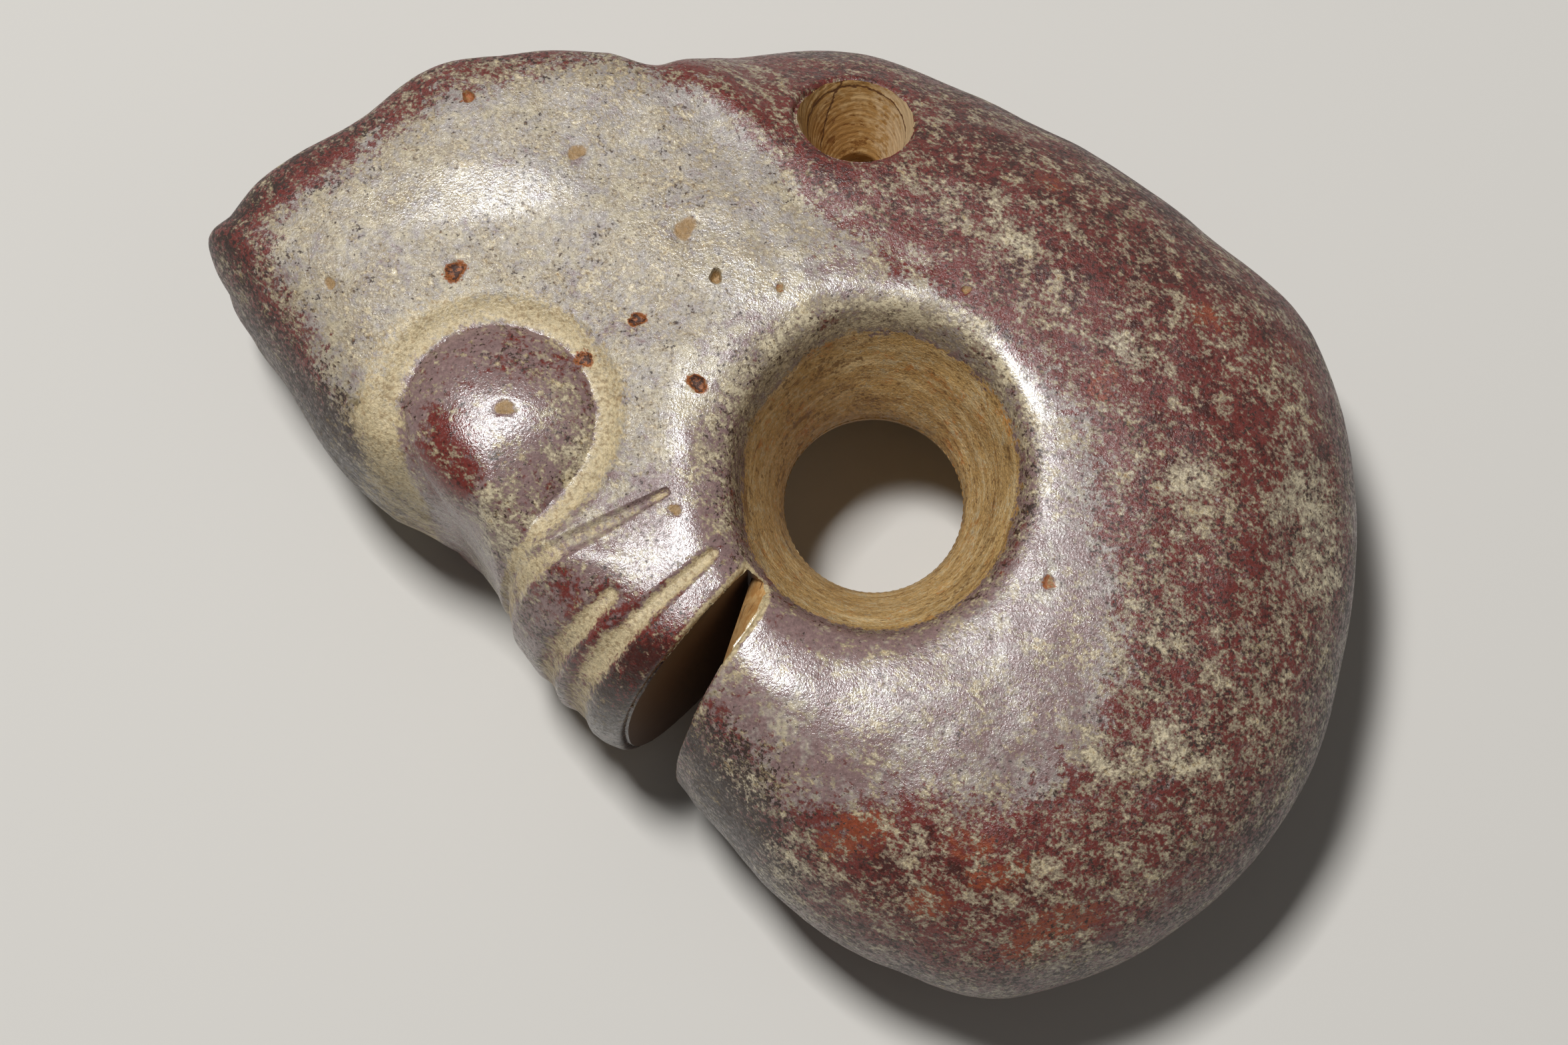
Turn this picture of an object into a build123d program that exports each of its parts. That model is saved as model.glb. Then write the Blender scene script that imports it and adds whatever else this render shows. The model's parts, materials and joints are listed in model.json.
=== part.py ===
from build123d import *
import math
import os

import numpy as np

# A coiled beast pendant of hard jade, carved and polished from one pebble.
# It lies on its flank. The middle plane that halves it is level, both flanks
# are alike, and the Z axis runs along the big hole that the body coils round.
# While it is shaped, the origin is the middle of that hole. +X points from the
# face to the back and +Y from the tail to the nape. Lengths are millimetres.

# Overall sizes
HALF_THICKNESS = 13.5      # middle plane to the highest ring of a flank
BACK_REACH = 31.9          # hole axis to the back's outer edge
RING_RADIUS = 13.6         # highest ring of the flank around the hole, at its widest
RING_SHARE = 0.92          # where the flank is narrow, the ring lies this far towards the crest

# Centre hole, drilled from both flanks into an hourglass
HOLE_RADIUS = 5.9          # waist
FUNNEL_FLARE = 0.47        # how much the funnel widens for each mm of height, at most
WAIST_SOFTNESS = 1.5       # height over which the waist turns into the funnel
RIM_SOFTNESS = 1.3         # how softly the funnel's edge is worn round
RING_DIP = 3.4             # how far the flank sinks from the ring to the hole

# Cord hole through the nape, drilled aslant from both flanks to a short waist
CORD_HOLE_RADIUS = 1.6     # waist
CORD_HOLE_LAND = 3.0       # length of the waist
CORD_HOLE_TAPER = 15.0     # half angle of each drilled cone, in degrees
CORD_HOLE_TILT = 13.0      # how far each cone leans outwards, less than it tapers
CORD_HOLE_REACH = 22.2     # hole axis to the waist
CORD_HOLE_ANGLE = 92.6     # direction from the hole axis to the waist

# Slit between snout and tail, sawn from the outside and stopped by the hole
SLIT_ANGLE = 233.5         # direction in which it opens
SLIT_OFFSET = 1.45         # its middle line passes the hole axis this far away
SLIT_STOP = 10.5           # hole axis to the slit's inner end
SLIT_WIDTH = 2.0           # at the inner end
SLIT_SPREAD = 0.2          # how much wider for each mm outwards
SLIT_LEAN = 0.9            # the tail's wall leans in this far at the middle plane

# Eye, a drop-shaped boss in a cut ring
EYE_RADIUS = 6.2
EYE_X = -24.2
EYE_Y = 2.9
EYE_POINT = 9.7            # eye middle to the drop's point
EYE_POINT_ANGLE = 266      # direction of that point
EYE_RISE = 1.9             # crown of the boss above the groove's floor
EYE_GROOVE_WIDTH = 2.0
EYE_GROOVE_DEPTH = 0.8

# Snout wrinkles
WRINKLE_WIDTH = 1.5
WRINKLE_DEPTH = 0.55

# Hollow between the two ears and the natural flaw in the back
CLEFT_SHAPE = 1.5          # 1 is a straight-sided V, more is rounder at the edges
FLAW_DEPTH = 0.45
FLAW_LENGTH = 9.0
FLAW_WIDTH = 5.5
FLAW_ANGLE = 352.0
FLAW_REACH = 28.3

# How closely flat facets follow the carved surface
FACET_SAG = 0.12
SMALLEST_EDGE = 0.8
COARSE_TURNS = 60
COARSE_STEPS = 12
ROUNDS = 3                 # the net is refined this many times at most
CREST_STEP = 0.5           # share of the way where the crest lies

# One row for each direction from the hole axis, in degrees.
# outline: outer edge at the middle plane, share of BACK_REACH
# crest:   where the flank starts to fall away, share of the outline
# height:  flank there, share of HALF_THICKNESS
# full:    roundness of the fall, 2 is an ellipse and more is squarer
# edge:    sharp edge of the ear or nape, share of the outline
# lift:    height of that edge, share of HALF_THICKNESS
# ring:    highest ring there, share of RING_RADIUS
# mouth:   flare of the funnel there, share of FUNNEL_FLARE
SECTIONS = [
    #  angle  outline  crest  height  full  edge   lift  ring  mouth
    (0,       1.000,   0.43,  1.00,   2.10, 1.000, 0.00, 0.80, 0.62),
    (20,      0.985,   0.43,  1.00,   2.10, 1.000, 0.00, 0.78, 0.60),
    (40,      0.897,   0.46,  1.00,   2.10, 1.000, 0.00, 0.78, 0.62),
    (60,      0.878,   0.47,  0.99,   2.00, 1.000, 0.00, 0.80, 0.66),
    (76,      0.906,   0.47,  0.97,   1.85, 1.000, 0.00, 0.82, 0.70),
    (92,      0.976,   0.52,  0.95,   1.75, 1.000, 0.00, 0.83, 0.72),
    (105,     1.003,   0.63,  0.91,   1.90, 0.985, 0.05, 0.84, 0.70),
    (111,     1.017,   0.76,  0.88,   2.10, 0.962, 0.30, 0.85, 0.67),
    (116,     1.025,   0.83,  0.86,   2.20, 0.945, 0.62, 0.85, 0.65),
    (122,     1.025,   0.86,  0.88,   2.20, 1.020, 0.68, 0.85, 0.64),
    (130,     1.030,   0.85,  0.90,   2.20, 1.120, 0.68, 0.85, 0.61),
    (140,     1.060,   0.82,  0.92,   2.20, 1.202, 0.64, 0.85, 0.60),
    (150,     1.140,   0.75,  0.92,   2.20, 1.199, 0.58, 0.86, 0.61),
    (157,     1.280,   0.67,  0.92,   2.20, 1.124, 0.48, 0.87, 0.62),
    (161,     1.380,   0.62,  0.92,   2.20, 1.045, 0.36, 0.87, 0.62),
    (164,     1.345,   0.63,  0.92,   2.30, 1.012, 0.24, 0.88, 0.62),
    (168,     1.255,   0.68,  0.92,   2.40, 1.000, 0.12, 0.88, 0.63),
    (175,     1.130,   0.72,  0.92,   2.50, 1.000, 0.00, 0.89, 0.63),
    (183,     0.950,   0.78,  0.92,   2.50, 1.000, 0.00, 0.90, 0.64),
    (189,     0.842,   0.80,  0.93,   2.50, 1.000, 0.00, 0.91, 0.66),
    (196,     0.815,   0.74,  0.96,   2.50, 1.000, 0.00, 0.92, 0.69),
    (206,     0.779,   0.62,  0.98,   2.40, 1.000, 0.00, 0.93, 0.75),
    (220,     0.746,   0.58,  0.98,   2.40, 1.000, 0.00, 0.94, 0.84),
    (230,     0.700,   0.62,  0.98,   2.40, 1.000, 0.00, 0.95, 0.89),
    (240,     0.730,   0.62,  0.98,   2.20, 1.000, 0.00, 0.97, 0.92),
    (255,     0.832,   0.57,  1.00,   2.10, 1.000, 0.00, 1.00, 0.95),
    (272,     0.965,   0.50,  1.00,   2.10, 1.000, 0.00, 1.00, 0.98),
    (290,     1.067,   0.46,  1.00,   2.10, 1.000, 0.00, 0.98, 0.92),
    (305,     1.077,   0.44,  1.00,   2.10, 1.000, 0.00, 0.94, 0.86),
    (325,     1.061,   0.43,  1.00,   2.10, 1.000, 0.00, 0.87, 0.74),
    (342,     1.018,   0.43,  1.00,   2.10, 1.000, 0.00, 0.82, 0.66),
]

# Middle line of each snout wrinkle, in shares of BACK_REACH from the hole axis,
# and its width as a share of WRINKLE_WIDTH at each end.
WRINKLES = [
    #  start x, y      bend x, y       end x, y        widths
    ((-0.765, -0.250), (-0.610, -0.165), (-0.435, -0.075), (1.0, 0.6)),
    ((-0.648, -0.355), (-0.595, -0.325), (-0.540, -0.280), (1.1, 0.9)),
    ((-0.620, -0.440), (-0.495, -0.340), (-0.335, -0.200), (1.2, 0.6)),
]


def direction(degrees):
    """Unit vector in the middle plane."""
    turn = math.radians(degrees)
    return np.array([math.cos(turn), math.sin(turn)])


def smooth_step(t):
    t = np.clip(t, 0, 1)
    return t * t * (3 - 2 * t)


def softer_of(a, b, softness):
    """The lower of two heights, with the edge between them rounded."""
    return 0.5 * (a + b - np.sqrt((a - b) ** 2 + softness ** 2))


def around(column, degrees):
    """One column of SECTIONS at any direction, as a smooth curve with no overshoot."""
    knots = np.array([row[0] for row in SECTIONS], float)
    values = np.array([row[column] for row in SECTIONS], float)
    knots = np.concatenate([knots[-2:] - 360, knots, knots[:3] + 360])
    values = np.concatenate([values[-2:], values, values[:3]])
    gaps = np.diff(knots)
    rises = np.diff(values) / gaps
    both = rises[:-1] * rises[1:]
    mean = both / np.where(both > 0, (rises[:-1] + rises[1:]) / 2, 1)
    slopes = np.where(both > 0, mean, 0)
    at = np.mod(degrees, 360)
    i = np.clip(np.searchsorted(knots, at, side="right") - 1, 1, len(knots) - 3)
    t = (at - knots[i]) / gaps[i]
    start = values[i] + t * gaps[i] * slopes[i - 1]
    end = values[i + 1] - (1 - t) * gaps[i] * slopes[i]
    return start + smooth_step(t) * (end - start)


def eye_relief(x, y):
    """A drop-shaped boss with a groove round it."""
    from_eye = np.hypot(x - EYE_X, y - EYE_Y)
    turn = np.degrees(np.arctan2(y - EYE_Y, x - EYE_X)) - EYE_POINT_ANGLE
    turn = np.abs((turn + 180) % 360 - 180)
    tangent = math.degrees(math.acos(EYE_RADIUS / EYE_POINT))
    rim = EYE_RADIUS / np.cos(np.radians(np.clip(tangent - turn, 0, None)))
    boss = EYE_RISE * np.clip(1 - (from_eye / rim) ** 2, 0, None) ** (0.75 * rim / EYE_RADIUS)
    outside = (from_eye - rim) / EYE_GROOVE_WIDTH
    floor = smooth_step(1.5 - 1.3 * outside)
    return boss - EYE_GROOVE_DEPTH * floor


def wrinkle_relief(x, y):
    """Round-bottomed grooves, each along a bent line that tapers to one end."""
    depth = np.zeros_like(x)
    for start, bend, end, (wide_start, wide_end) in WRINKLES:
        a, b, c = (np.array(point) * BACK_REACH for point in (start, bend, end))
        wide_bend = (wide_start + wide_end) / 2
        for p, q, wide_p, wide_q in ((a, b, wide_start, wide_bend), (b, c, wide_bend, wide_end)):
            run = q - p
            along = ((x - p[0]) * run[0] + (y - p[1]) * run[1]) / np.dot(run, run)
            along = np.clip(along, 0, 1)
            away = np.hypot(x - p[0] - along * run[0], y - p[1] - along * run[1])
            half = WRINKLE_WIDTH * (wide_p + along * (wide_q - wide_p)) / 2
            depth = np.maximum(depth, WRINKLE_DEPTH * smooth_step(1.5 - away / half))
    return -depth


def flaw_relief(x, y):
    """A shallow natural hollow in the back."""
    outward = direction(FLAW_ANGLE)
    middle = outward * FLAW_REACH
    across = (x - middle[0]) * outward[0] + (y - middle[1]) * outward[1]
    along = (y - middle[1]) * outward[0] - (x - middle[0]) * outward[1]
    spread = np.hypot(2 * along / FLAW_LENGTH, 2 * across / FLAW_WIDTH)
    return -FLAW_DEPTH * smooth_step(1.3 - spread)


def inner_height(reach, crest, crest_height, ring, mouth):
    """Height above the middle plane from the hole's wall to the crest of the flank."""
    ring = np.minimum(ring, RING_SHARE * crest)
    inward = np.clip((ring - reach) / (ring - HOLE_RADIUS), 0, None)
    outward = (reach - ring) / (crest - ring)
    flank = HALF_THICKNESS - RING_DIP * inward ** 2
    flank = flank + (crest_height - HALF_THICKNESS) * smooth_step(outward)
    widened = (reach - HOLE_RADIUS) / (mouth * FUNNEL_FLARE) + WAIST_SOFTNESS
    funnel = np.sqrt(np.clip(widened ** 2 - WAIST_SOFTNESS ** 2, 0, None))
    return softer_of(funnel, flank, RIM_SOFTNESS)


def smooth_surface(turn, step):
    """Upper half of the stone before it is carved.

    turn is the direction from the hole axis, in degrees. step runs from 0 in the
    middle of the hole's wall, over the flank, to 1 at the outer edge.
    """
    outline = around(1, turn) * BACK_REACH
    crest = around(2, turn) * outline
    crest_height = around(3, turn) * HALF_THICKNESS
    full = around(4, turn)
    edge = around(5, turn) * outline
    lift = around(6, turn) * HALF_THICKNESS
    ring = around(7, turn) * RING_RADIUS
    mouth = around(8, turn)

    inner = np.clip(step / CREST_STEP, 0, 1)
    inner_reach = HOLE_RADIUS + (crest - HOLE_RADIUS) * inner ** 2
    inner_rise = inner_height(inner_reach, crest, crest_height, ring, mouth)

    outer = np.clip((step - CREST_STEP) / (1 - CREST_STEP), 0, 1)
    cleft_part = lift / (2 * HALF_THICKNESS)
    fall = np.clip(outer / (1 - cleft_part), 0, 1) * math.pi / 2
    size = (np.cos(fall) ** full + np.sin(fall) ** full) ** (1 / full)
    cleft = np.clip((outer - 1 + cleft_part) / np.maximum(cleft_part, 1e-6), 0, 1)
    top = inner_height(crest, crest, crest_height, ring, mouth)
    outer_reach = crest + (edge - crest) * np.sin(fall) / size
    outer_reach = outer_reach + (outline - edge) * cleft ** CLEFT_SHAPE
    outer_rise = lift * (1 - cleft) + (top - lift) * np.cos(fall) / size

    reach = np.where(step > CREST_STEP, outer_reach, inner_reach)
    rise = np.where(step > CREST_STEP, outer_rise, inner_rise)
    rise = np.where((step <= 0) | (step >= 1), 0, rise)
    angle = np.radians(turn)
    return np.stack([reach * np.cos(angle), reach * np.sin(angle), rise], -1)


def carved_surface(turn, step):
    """The smooth surface, raised or cut square to itself by the carving."""
    base = smooth_surface(turn, step)
    nudge = 0.02
    back = np.clip(step - nudge / 2, 0, 1)
    ahead = np.clip(step + nudge / 2, 0, 1)
    along = smooth_surface(turn, ahead) - smooth_surface(turn, back)
    across = smooth_surface(turn + nudge * 20, step) - smooth_surface(turn - nudge * 20, step)
    normal = np.cross(along, across)
    length = np.linalg.norm(normal, axis=-1, keepdims=True)
    normal = normal / np.maximum(length, 1e-9)
    normal[..., 2] = np.where(step <= 0, 0, normal[..., 2])
    normal[..., 2] = np.where(step >= 1, 0, normal[..., 2])
    relief = eye_relief(base[..., 0], base[..., 1])
    relief = relief + wrinkle_relief(base[..., 0], base[..., 1])
    relief = relief + flaw_relief(base[..., 0], base[..., 1])
    return base + normal * relief[..., None]


def facets_of_surface():
    """Points (direction, step) and triangles that follow the carved surface.

    A coarse net over the upper half is refined: each edge whose middle stands off
    the surface is halved, and its triangles are divided to suit.
    """
    points = []
    for i in range(COARSE_TURNS):
        for j in range(COARSE_STEPS + 1):
            points.append((360 * i / COARSE_TURNS, j / COARSE_STEPS))
    triangles = []
    for i in range(COARSE_TURNS):
        for j in range(COARSE_STEPS):
            a = i * (COARSE_STEPS + 1) + j
            b = (i + 1) % COARSE_TURNS * (COARSE_STEPS + 1) + j
            if (i + j) % 2:
                triangles += [(a, b, b + 1), (a, b + 1, a + 1)]
            else:
                triangles += [(a, b, a + 1), (b, b + 1, a + 1)]
    for _ in range(ROUNDS):
        triangles, points, halved = refined(triangles, points)
        if not halved:
            break
    return points, triangles


def middle_of(p, q):
    """Middle of an edge, which may cross the direction 360."""
    turn = (q[0] - p[0] + 180) % 360 - 180
    return ((p[0] + turn / 2) % 360, (p[1] + q[1]) / 2)


def refined(triangles, points):
    """One round of halving the edges that stand off the surface."""
    edges = sorted({tuple(sorted(pair)) for a, b, c in triangles
                    for pair in ((a, b), (b, c), (c, a))})
    middles = [middle_of(points[a], points[b]) for a, b in edges]
    at = np.array(points)
    corner = carved_surface(at[:, 0], at[:, 1])
    start = corner[[a for a, b in edges]]
    end = corner[[b for a, b in edges]]
    at = np.array(middles)
    true = carved_surface(at[:, 0], at[:, 1])
    off = np.linalg.norm(true - (start + end) / 2, axis=1)
    long = np.linalg.norm(end - start, axis=1)
    points = list(points)
    new = {}
    for k in np.nonzero((off > FACET_SAG) & (long > SMALLEST_EDGE))[0]:
        new[edges[k]] = len(points)
        points.append(middles[k])

    def half(a, b):
        return new.get((min(a, b), max(a, b)))

    result = []
    for a, b, c in triangles:
        for _ in range(3):
            if half(a, b) is None or half(c, a) is not None and half(b, c) is None:
                a, b, c = b, c, a
        ab, bc, ca = half(a, b), half(b, c), half(c, a)
        if ab is None:
            result += [(a, b, c)]
        elif bc is None:
            result += [(a, ab, c), (ab, b, c)]
        elif ca is None:
            result += [(ab, b, bc), (a, ab, bc), (a, bc, c)]
        else:
            result += [(a, ab, ca), (ab, b, bc), (ca, bc, c), (ab, bc, ca)]
    return result, points, bool(new)


def solid_of(facets):
    """Closed solid from flat facets, each a list of corners."""
    return Solid(Shell([Face(Wire.make_polygon(corners, close=True)) for corners in facets]))


def stone_blank():
    """Both halves of the carved stone, before drilling and sawing."""
    points, triangles = facets_of_surface()
    at = np.array(points)
    upper = carved_surface(at[:, 0], at[:, 1]).tolist()
    facets = []
    for triangle in triangles:
        corners = [tuple(upper[k]) for k in triangle]
        facets.append(corners)
        facets.append([(x, y, -z) for x, y, z in reversed(corners)])
    return solid_of(facets)


def cord_hole():
    """Two slanting cones that meet in a short straight waist, which a straight pin can pass."""
    outward = direction(CORD_HOLE_ANGLE)
    waist = outward * CORD_HOLE_REACH
    depth = HALF_THICKNESS
    mouth = waist + outward * depth * math.tan(math.radians(CORD_HOLE_TILT))
    mouth_radius = CORD_HOLE_RADIUS + depth * math.tan(math.radians(CORD_HOLE_TAPER))
    tool = Pos(waist[0], waist[1], 0) * Cylinder(CORD_HOLE_RADIUS, CORD_HOLE_LAND)
    for side in (1, -1):
        inner = Pos(waist[0], waist[1], side * CORD_HOLE_LAND / 2) * Circle(CORD_HOLE_RADIUS)
        outer = Pos(mouth[0], mouth[1], side * (CORD_HOLE_LAND / 2 + depth)) * Circle(mouth_radius)
        tool = tool + loft([inner, outer], ruled=True)
    return tool


def slit():
    """Wedge between snout and tail; the tail's wall leans in towards the middle plane."""
    outward = direction(SLIT_ANGLE)
    aside = direction(SLIT_ANGLE + 90)
    inner = outward * SLIT_STOP - aside * SLIT_OFFSET
    length = 2 * BACK_REACH - SLIT_STOP
    outer = inner + outward * length
    half_inner = SLIT_WIDTH / 2
    half_outer = half_inner + SLIT_SPREAD * length / 2
    half_height = 1.5 * HALF_THICKNESS
    rings = []
    for height in (-half_height, 0, half_height):
        lean = SLIT_LEAN * (1 - abs(height) / half_height)
        ring = [
            inner - aside * half_inner,
            outer - aside * half_outer,
            outer + aside * (half_outer - lean),
            inner + aside * (half_inner - lean),
        ]
        rings.append([(x, y, height) for x, y in ring])
    facets = [rings[0][::-1], rings[-1]]
    for low, high in zip(rings, rings[1:]):
        for k in range(len(low)):
            after = (k + 1) % len(low)
            facets.append([low[k], low[after], high[after], high[k]])
    return solid_of(facets)


def pendant():
    """The finished stone, still round the hole axis."""
    return stone_blank() - cord_hole() - slit()


os.makedirs("parts", exist_ok=True)
stone = pendant()
box = stone.bounding_box()
stone = Pos(-box.center().X, -box.center().Y, -box.min.Z) * stone
export_step(stone, "parts/pendant.step", write_pcurves=False)
print("size", [round(value, 2) for value in box.size])
print("volume", round(stone.volume, 1))
print("hole axis at", round(-box.center().X, 3), round(-box.center().Y, 3))
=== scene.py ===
# %% [markdown]
# # A coiled beast pendant in mottled jade
#
# This lesson dresses one carved stone: a coiled beast with tall ears, cut from a single
# pebble of nephrite jade, drilled, sawn and polished by hand and then worn by time.
# The stone lies on its flank. Its shape is worked out here in millimetres round the axis of
# the big hole, with +X to the back, +Y to the nape and +Z up, and turned to metres at the end.

# %% Load the frame
import json
import math

import bpy
import numpy as np
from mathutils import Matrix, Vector


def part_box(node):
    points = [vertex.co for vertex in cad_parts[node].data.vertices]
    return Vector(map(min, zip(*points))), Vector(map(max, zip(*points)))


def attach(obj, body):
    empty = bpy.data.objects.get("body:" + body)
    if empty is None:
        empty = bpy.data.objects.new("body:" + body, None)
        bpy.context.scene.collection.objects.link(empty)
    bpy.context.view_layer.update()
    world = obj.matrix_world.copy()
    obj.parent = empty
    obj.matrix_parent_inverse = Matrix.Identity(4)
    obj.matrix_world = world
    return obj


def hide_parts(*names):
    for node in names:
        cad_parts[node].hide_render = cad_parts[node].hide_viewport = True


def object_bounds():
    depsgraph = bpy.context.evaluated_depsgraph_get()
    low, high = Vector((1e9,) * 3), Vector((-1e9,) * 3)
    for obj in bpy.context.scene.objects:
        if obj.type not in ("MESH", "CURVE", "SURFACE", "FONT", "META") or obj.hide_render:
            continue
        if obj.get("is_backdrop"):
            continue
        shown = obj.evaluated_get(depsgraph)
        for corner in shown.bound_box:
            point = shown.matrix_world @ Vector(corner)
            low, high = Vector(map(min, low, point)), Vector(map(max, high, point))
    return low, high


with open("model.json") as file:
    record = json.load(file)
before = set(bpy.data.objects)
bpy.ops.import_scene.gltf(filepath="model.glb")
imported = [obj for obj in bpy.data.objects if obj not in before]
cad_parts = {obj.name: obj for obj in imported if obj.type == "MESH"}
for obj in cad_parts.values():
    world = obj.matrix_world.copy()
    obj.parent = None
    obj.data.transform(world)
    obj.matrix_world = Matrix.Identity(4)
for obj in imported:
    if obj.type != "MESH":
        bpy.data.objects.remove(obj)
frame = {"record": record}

cad_low, cad_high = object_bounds()
MM = 0.001
stone_low, stone_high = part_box("pendant")
hole_box = np.array(frame["record"]["physics"]["openings"][0]["box_m"])
cord_mount = frame["record"]["mounts"][0]
HOLE_X, HOLE_Y = (hole_box[0] + hole_box[1])[:2] / 2
MIDDLE_Z = (stone_low.z + stone_high.z) / 2
print("hole axis and middle plane, mm:", [round(at / MM, 3) for at in (HOLE_X, HOLE_Y, MIDDLE_Z)])

# %% [markdown]
# ## Sizes of the stone
#
# A carver first gives the pebble its outline and thickness, then drills, saws and carves.
# The values below are in that order. They are real sizes in millimetres, so that each can be
# compared with the stone in the hand.

# %% Overall sizes and the drilled and sawn openings
HALF_THICKNESS = 13.5      # middle plane to the highest ring of a flank
BACK_REACH = 31.9          # hole axis to the back's outer edge
RING_RADIUS = 13.6         # highest ring of the flank around the hole, at its widest
RING_SHARE = 0.92          # where the flank is narrow, the ring lies this far towards the crest

HOLE_RADIUS = 5.9          # waist of the big hole
FUNNEL_FLARE = 0.47        # how much the funnel widens for each mm of height, at most
WAIST_SOFTNESS = 1.5       # height over which the waist turns into the funnel
RIM_SOFTNESS = 1.3         # how softly the funnel's edge is worn round
RING_DIP = 3.4             # how far the flank sinks from the ring to the hole

CORD_HOLE_RADIUS = 1.6
CORD_HOLE_LAND = 3.0       # length of the straight waist
CORD_HOLE_TAPER = 15.0     # half angle of each drilled cone, in degrees
CORD_HOLE_TILT = 13.0      # how far each cone leans outwards
CORD_X, CORD_Y = (np.array(cord_mount["pos_m"][:2]) - (HOLE_X, HOLE_Y)) / MM

SLIT_ANGLE = 233.5         # direction in which the slit opens
SLIT_OFFSET = 1.45         # its middle line passes the hole axis this far away
SLIT_STOP = 10.5           # hole axis to its inner end
SLIT_WIDTH = 2.0           # at the inner end
SLIT_SPREAD = 0.2          # how much wider for each mm outwards
SLIT_LEAN = 0.9            # the tail's wall leans in this far at the middle plane
FACET_LENGTH = 6.0         # near the inner end that wall is cut aslant instead
FACET_LOW = 10.4           # height at which the slanting cut ends
FACET_LEAN = 1.8           # how far it leans in there
FACET_SLOPE = 0.68         # how much less for each mm above
FACET_RISE = 3.2           # height over which it does

print("thickness at the ring", 2 * HALF_THICKNESS, "mm, hole", 2 * HOLE_RADIUS, "mm wide")

# %% Carving
EYE_RADIUS = 6.2
EYE_X = -24.2
EYE_Y = 2.9
EYE_POINT = 9.7            # eye middle to the drop's point
EYE_POINT_ANGLE = 266
EYE_RISE = 1.7
EYE_GROOVE_WIDTH = 2.0
EYE_GROOVE_DEPTH = 0.6

WRINKLE_WIDTH = 1.5
WRINKLE_DEPTH = 0.40
CLEFT_SHAPE = 1.5
FLAW_DEPTH = 0.45
FLAW_LENGTH = 9.0
FLAW_WIDTH = 5.5
FLAW_ANGLE = 352.0
FLAW_REACH = 28.3
print("eye boss", 2 * EYE_RADIUS, "mm wide, wrinkles", WRINKLE_WIDTH, "mm")

# %% Sections round the hole axis
# One row for each direction from the hole axis, in degrees: outer edge as a share of
# BACK_REACH, crest as a share of that edge, height at the crest as a share of
# HALF_THICKNESS, roundness of the fall, for the ears the sharp edge's reach and lift, and
# the ring's radius and the funnel's flare there as shares of their largest.
SECTIONS = [
    # angle, outline, crest, height, full, edge, lift, ring, mouth
    (0, 1.0, 0.43, 1.0, 2.1, 1.0, 0.0, 0.8, 0.62),
    (20, 0.985, 0.43, 1.0, 2.1, 1.0, 0.0, 0.78, 0.6),
    (40, 0.897, 0.46, 1.0, 2.1, 1.0, 0.0, 0.78, 0.62),
    (60, 0.878, 0.47, 0.99, 2.0, 1.0, 0.0, 0.8, 0.66),
    (76, 0.906, 0.47, 0.97, 1.85, 1.0, 0.0, 0.82, 0.7),
    (92, 0.976, 0.52, 0.95, 1.75, 1.0, 0.0, 0.83, 0.72),
    (105, 1.003, 0.63, 0.91, 1.9, 0.985, 0.05, 0.84, 0.7),
    (111, 1.017, 0.76, 0.88, 2.1, 0.962, 0.3, 0.85, 0.67),
    (116, 1.025, 0.83, 0.86, 2.2, 0.945, 0.62, 0.85, 0.65),
    (122, 1.025, 0.86, 0.88, 2.2, 1.02, 0.68, 0.85, 0.64),
    (130, 1.03, 0.85, 0.9, 2.2, 1.12, 0.68, 0.85, 0.61),
    (140, 1.06, 0.82, 0.92, 2.2, 1.202, 0.64, 0.85, 0.6),
    (150, 1.14, 0.75, 0.92, 2.2, 1.199, 0.58, 0.86, 0.61),
    (157, 1.28, 0.67, 0.92, 2.2, 1.124, 0.48, 0.87, 0.62),
    (161, 1.38, 0.62, 0.92, 2.2, 1.045, 0.36, 0.87, 0.62),
    (164, 1.345, 0.63, 0.92, 2.3, 1.012, 0.24, 0.88, 0.62),
    (168, 1.255, 0.68, 0.92, 2.4, 1.0, 0.12, 0.88, 0.63),
    (175, 1.13, 0.72, 0.92, 2.5, 1.0, 0.0, 0.89, 0.63),
    (183, 0.95, 0.78, 0.92, 2.5, 1.0, 0.0, 0.9, 0.64),
    (189, 0.842, 0.8, 0.93, 2.5, 1.0, 0.0, 0.91, 0.66),
    (196, 0.815, 0.74, 0.96, 2.5, 1.0, 0.0, 0.92, 0.69),
    (206, 0.779, 0.62, 0.99, 2.4, 1.0, 0.0, 0.93, 0.75),
    (220, 0.746, 0.58, 1.0, 2.4, 1.0, 0.0, 0.94, 0.84),
    (230, 0.7, 0.62, 1.0, 2.4, 1.0, 0.0, 0.95, 0.89),
    (240, 0.73, 0.62, 1.0, 2.2, 1.0, 0.0, 0.97, 0.92),
    (255, 0.832, 0.57, 1.0, 2.1, 1.0, 0.0, 1.0, 0.95),
    (272, 0.965, 0.5, 1.0, 2.1, 1.0, 0.0, 1.0, 0.98),
    (290, 1.067, 0.46, 1.0, 2.1, 1.0, 0.0, 0.98, 0.92),
    (305, 1.077, 0.44, 1.0, 2.1, 1.0, 0.0, 0.94, 0.86),
    (325, 1.061, 0.43, 1.0, 2.1, 1.0, 0.0, 0.87, 0.74),
    (342, 1.018, 0.43, 1.0, 2.1, 1.0, 0.0, 0.82, 0.66),
]

# Middle line of each snout wrinkle, in shares of BACK_REACH, and its width at each end.
WRINKLES = [
    #  start x, y      bend x, y       end x, y        widths
    ((-0.765, -0.25), (-0.61, -0.165), (-0.42, -0.067), (1.1, 0.25)),
    ((-0.655, -0.36), (-0.595, -0.325), (-0.53, -0.272), (1.2, 0.6)),
    ((-0.62, -0.44), (-0.495, -0.34), (-0.325, -0.19), (1.3, 0.4)),
]
print("directions", len(SECTIONS), "wrinkles", len(WRINKLES))

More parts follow.
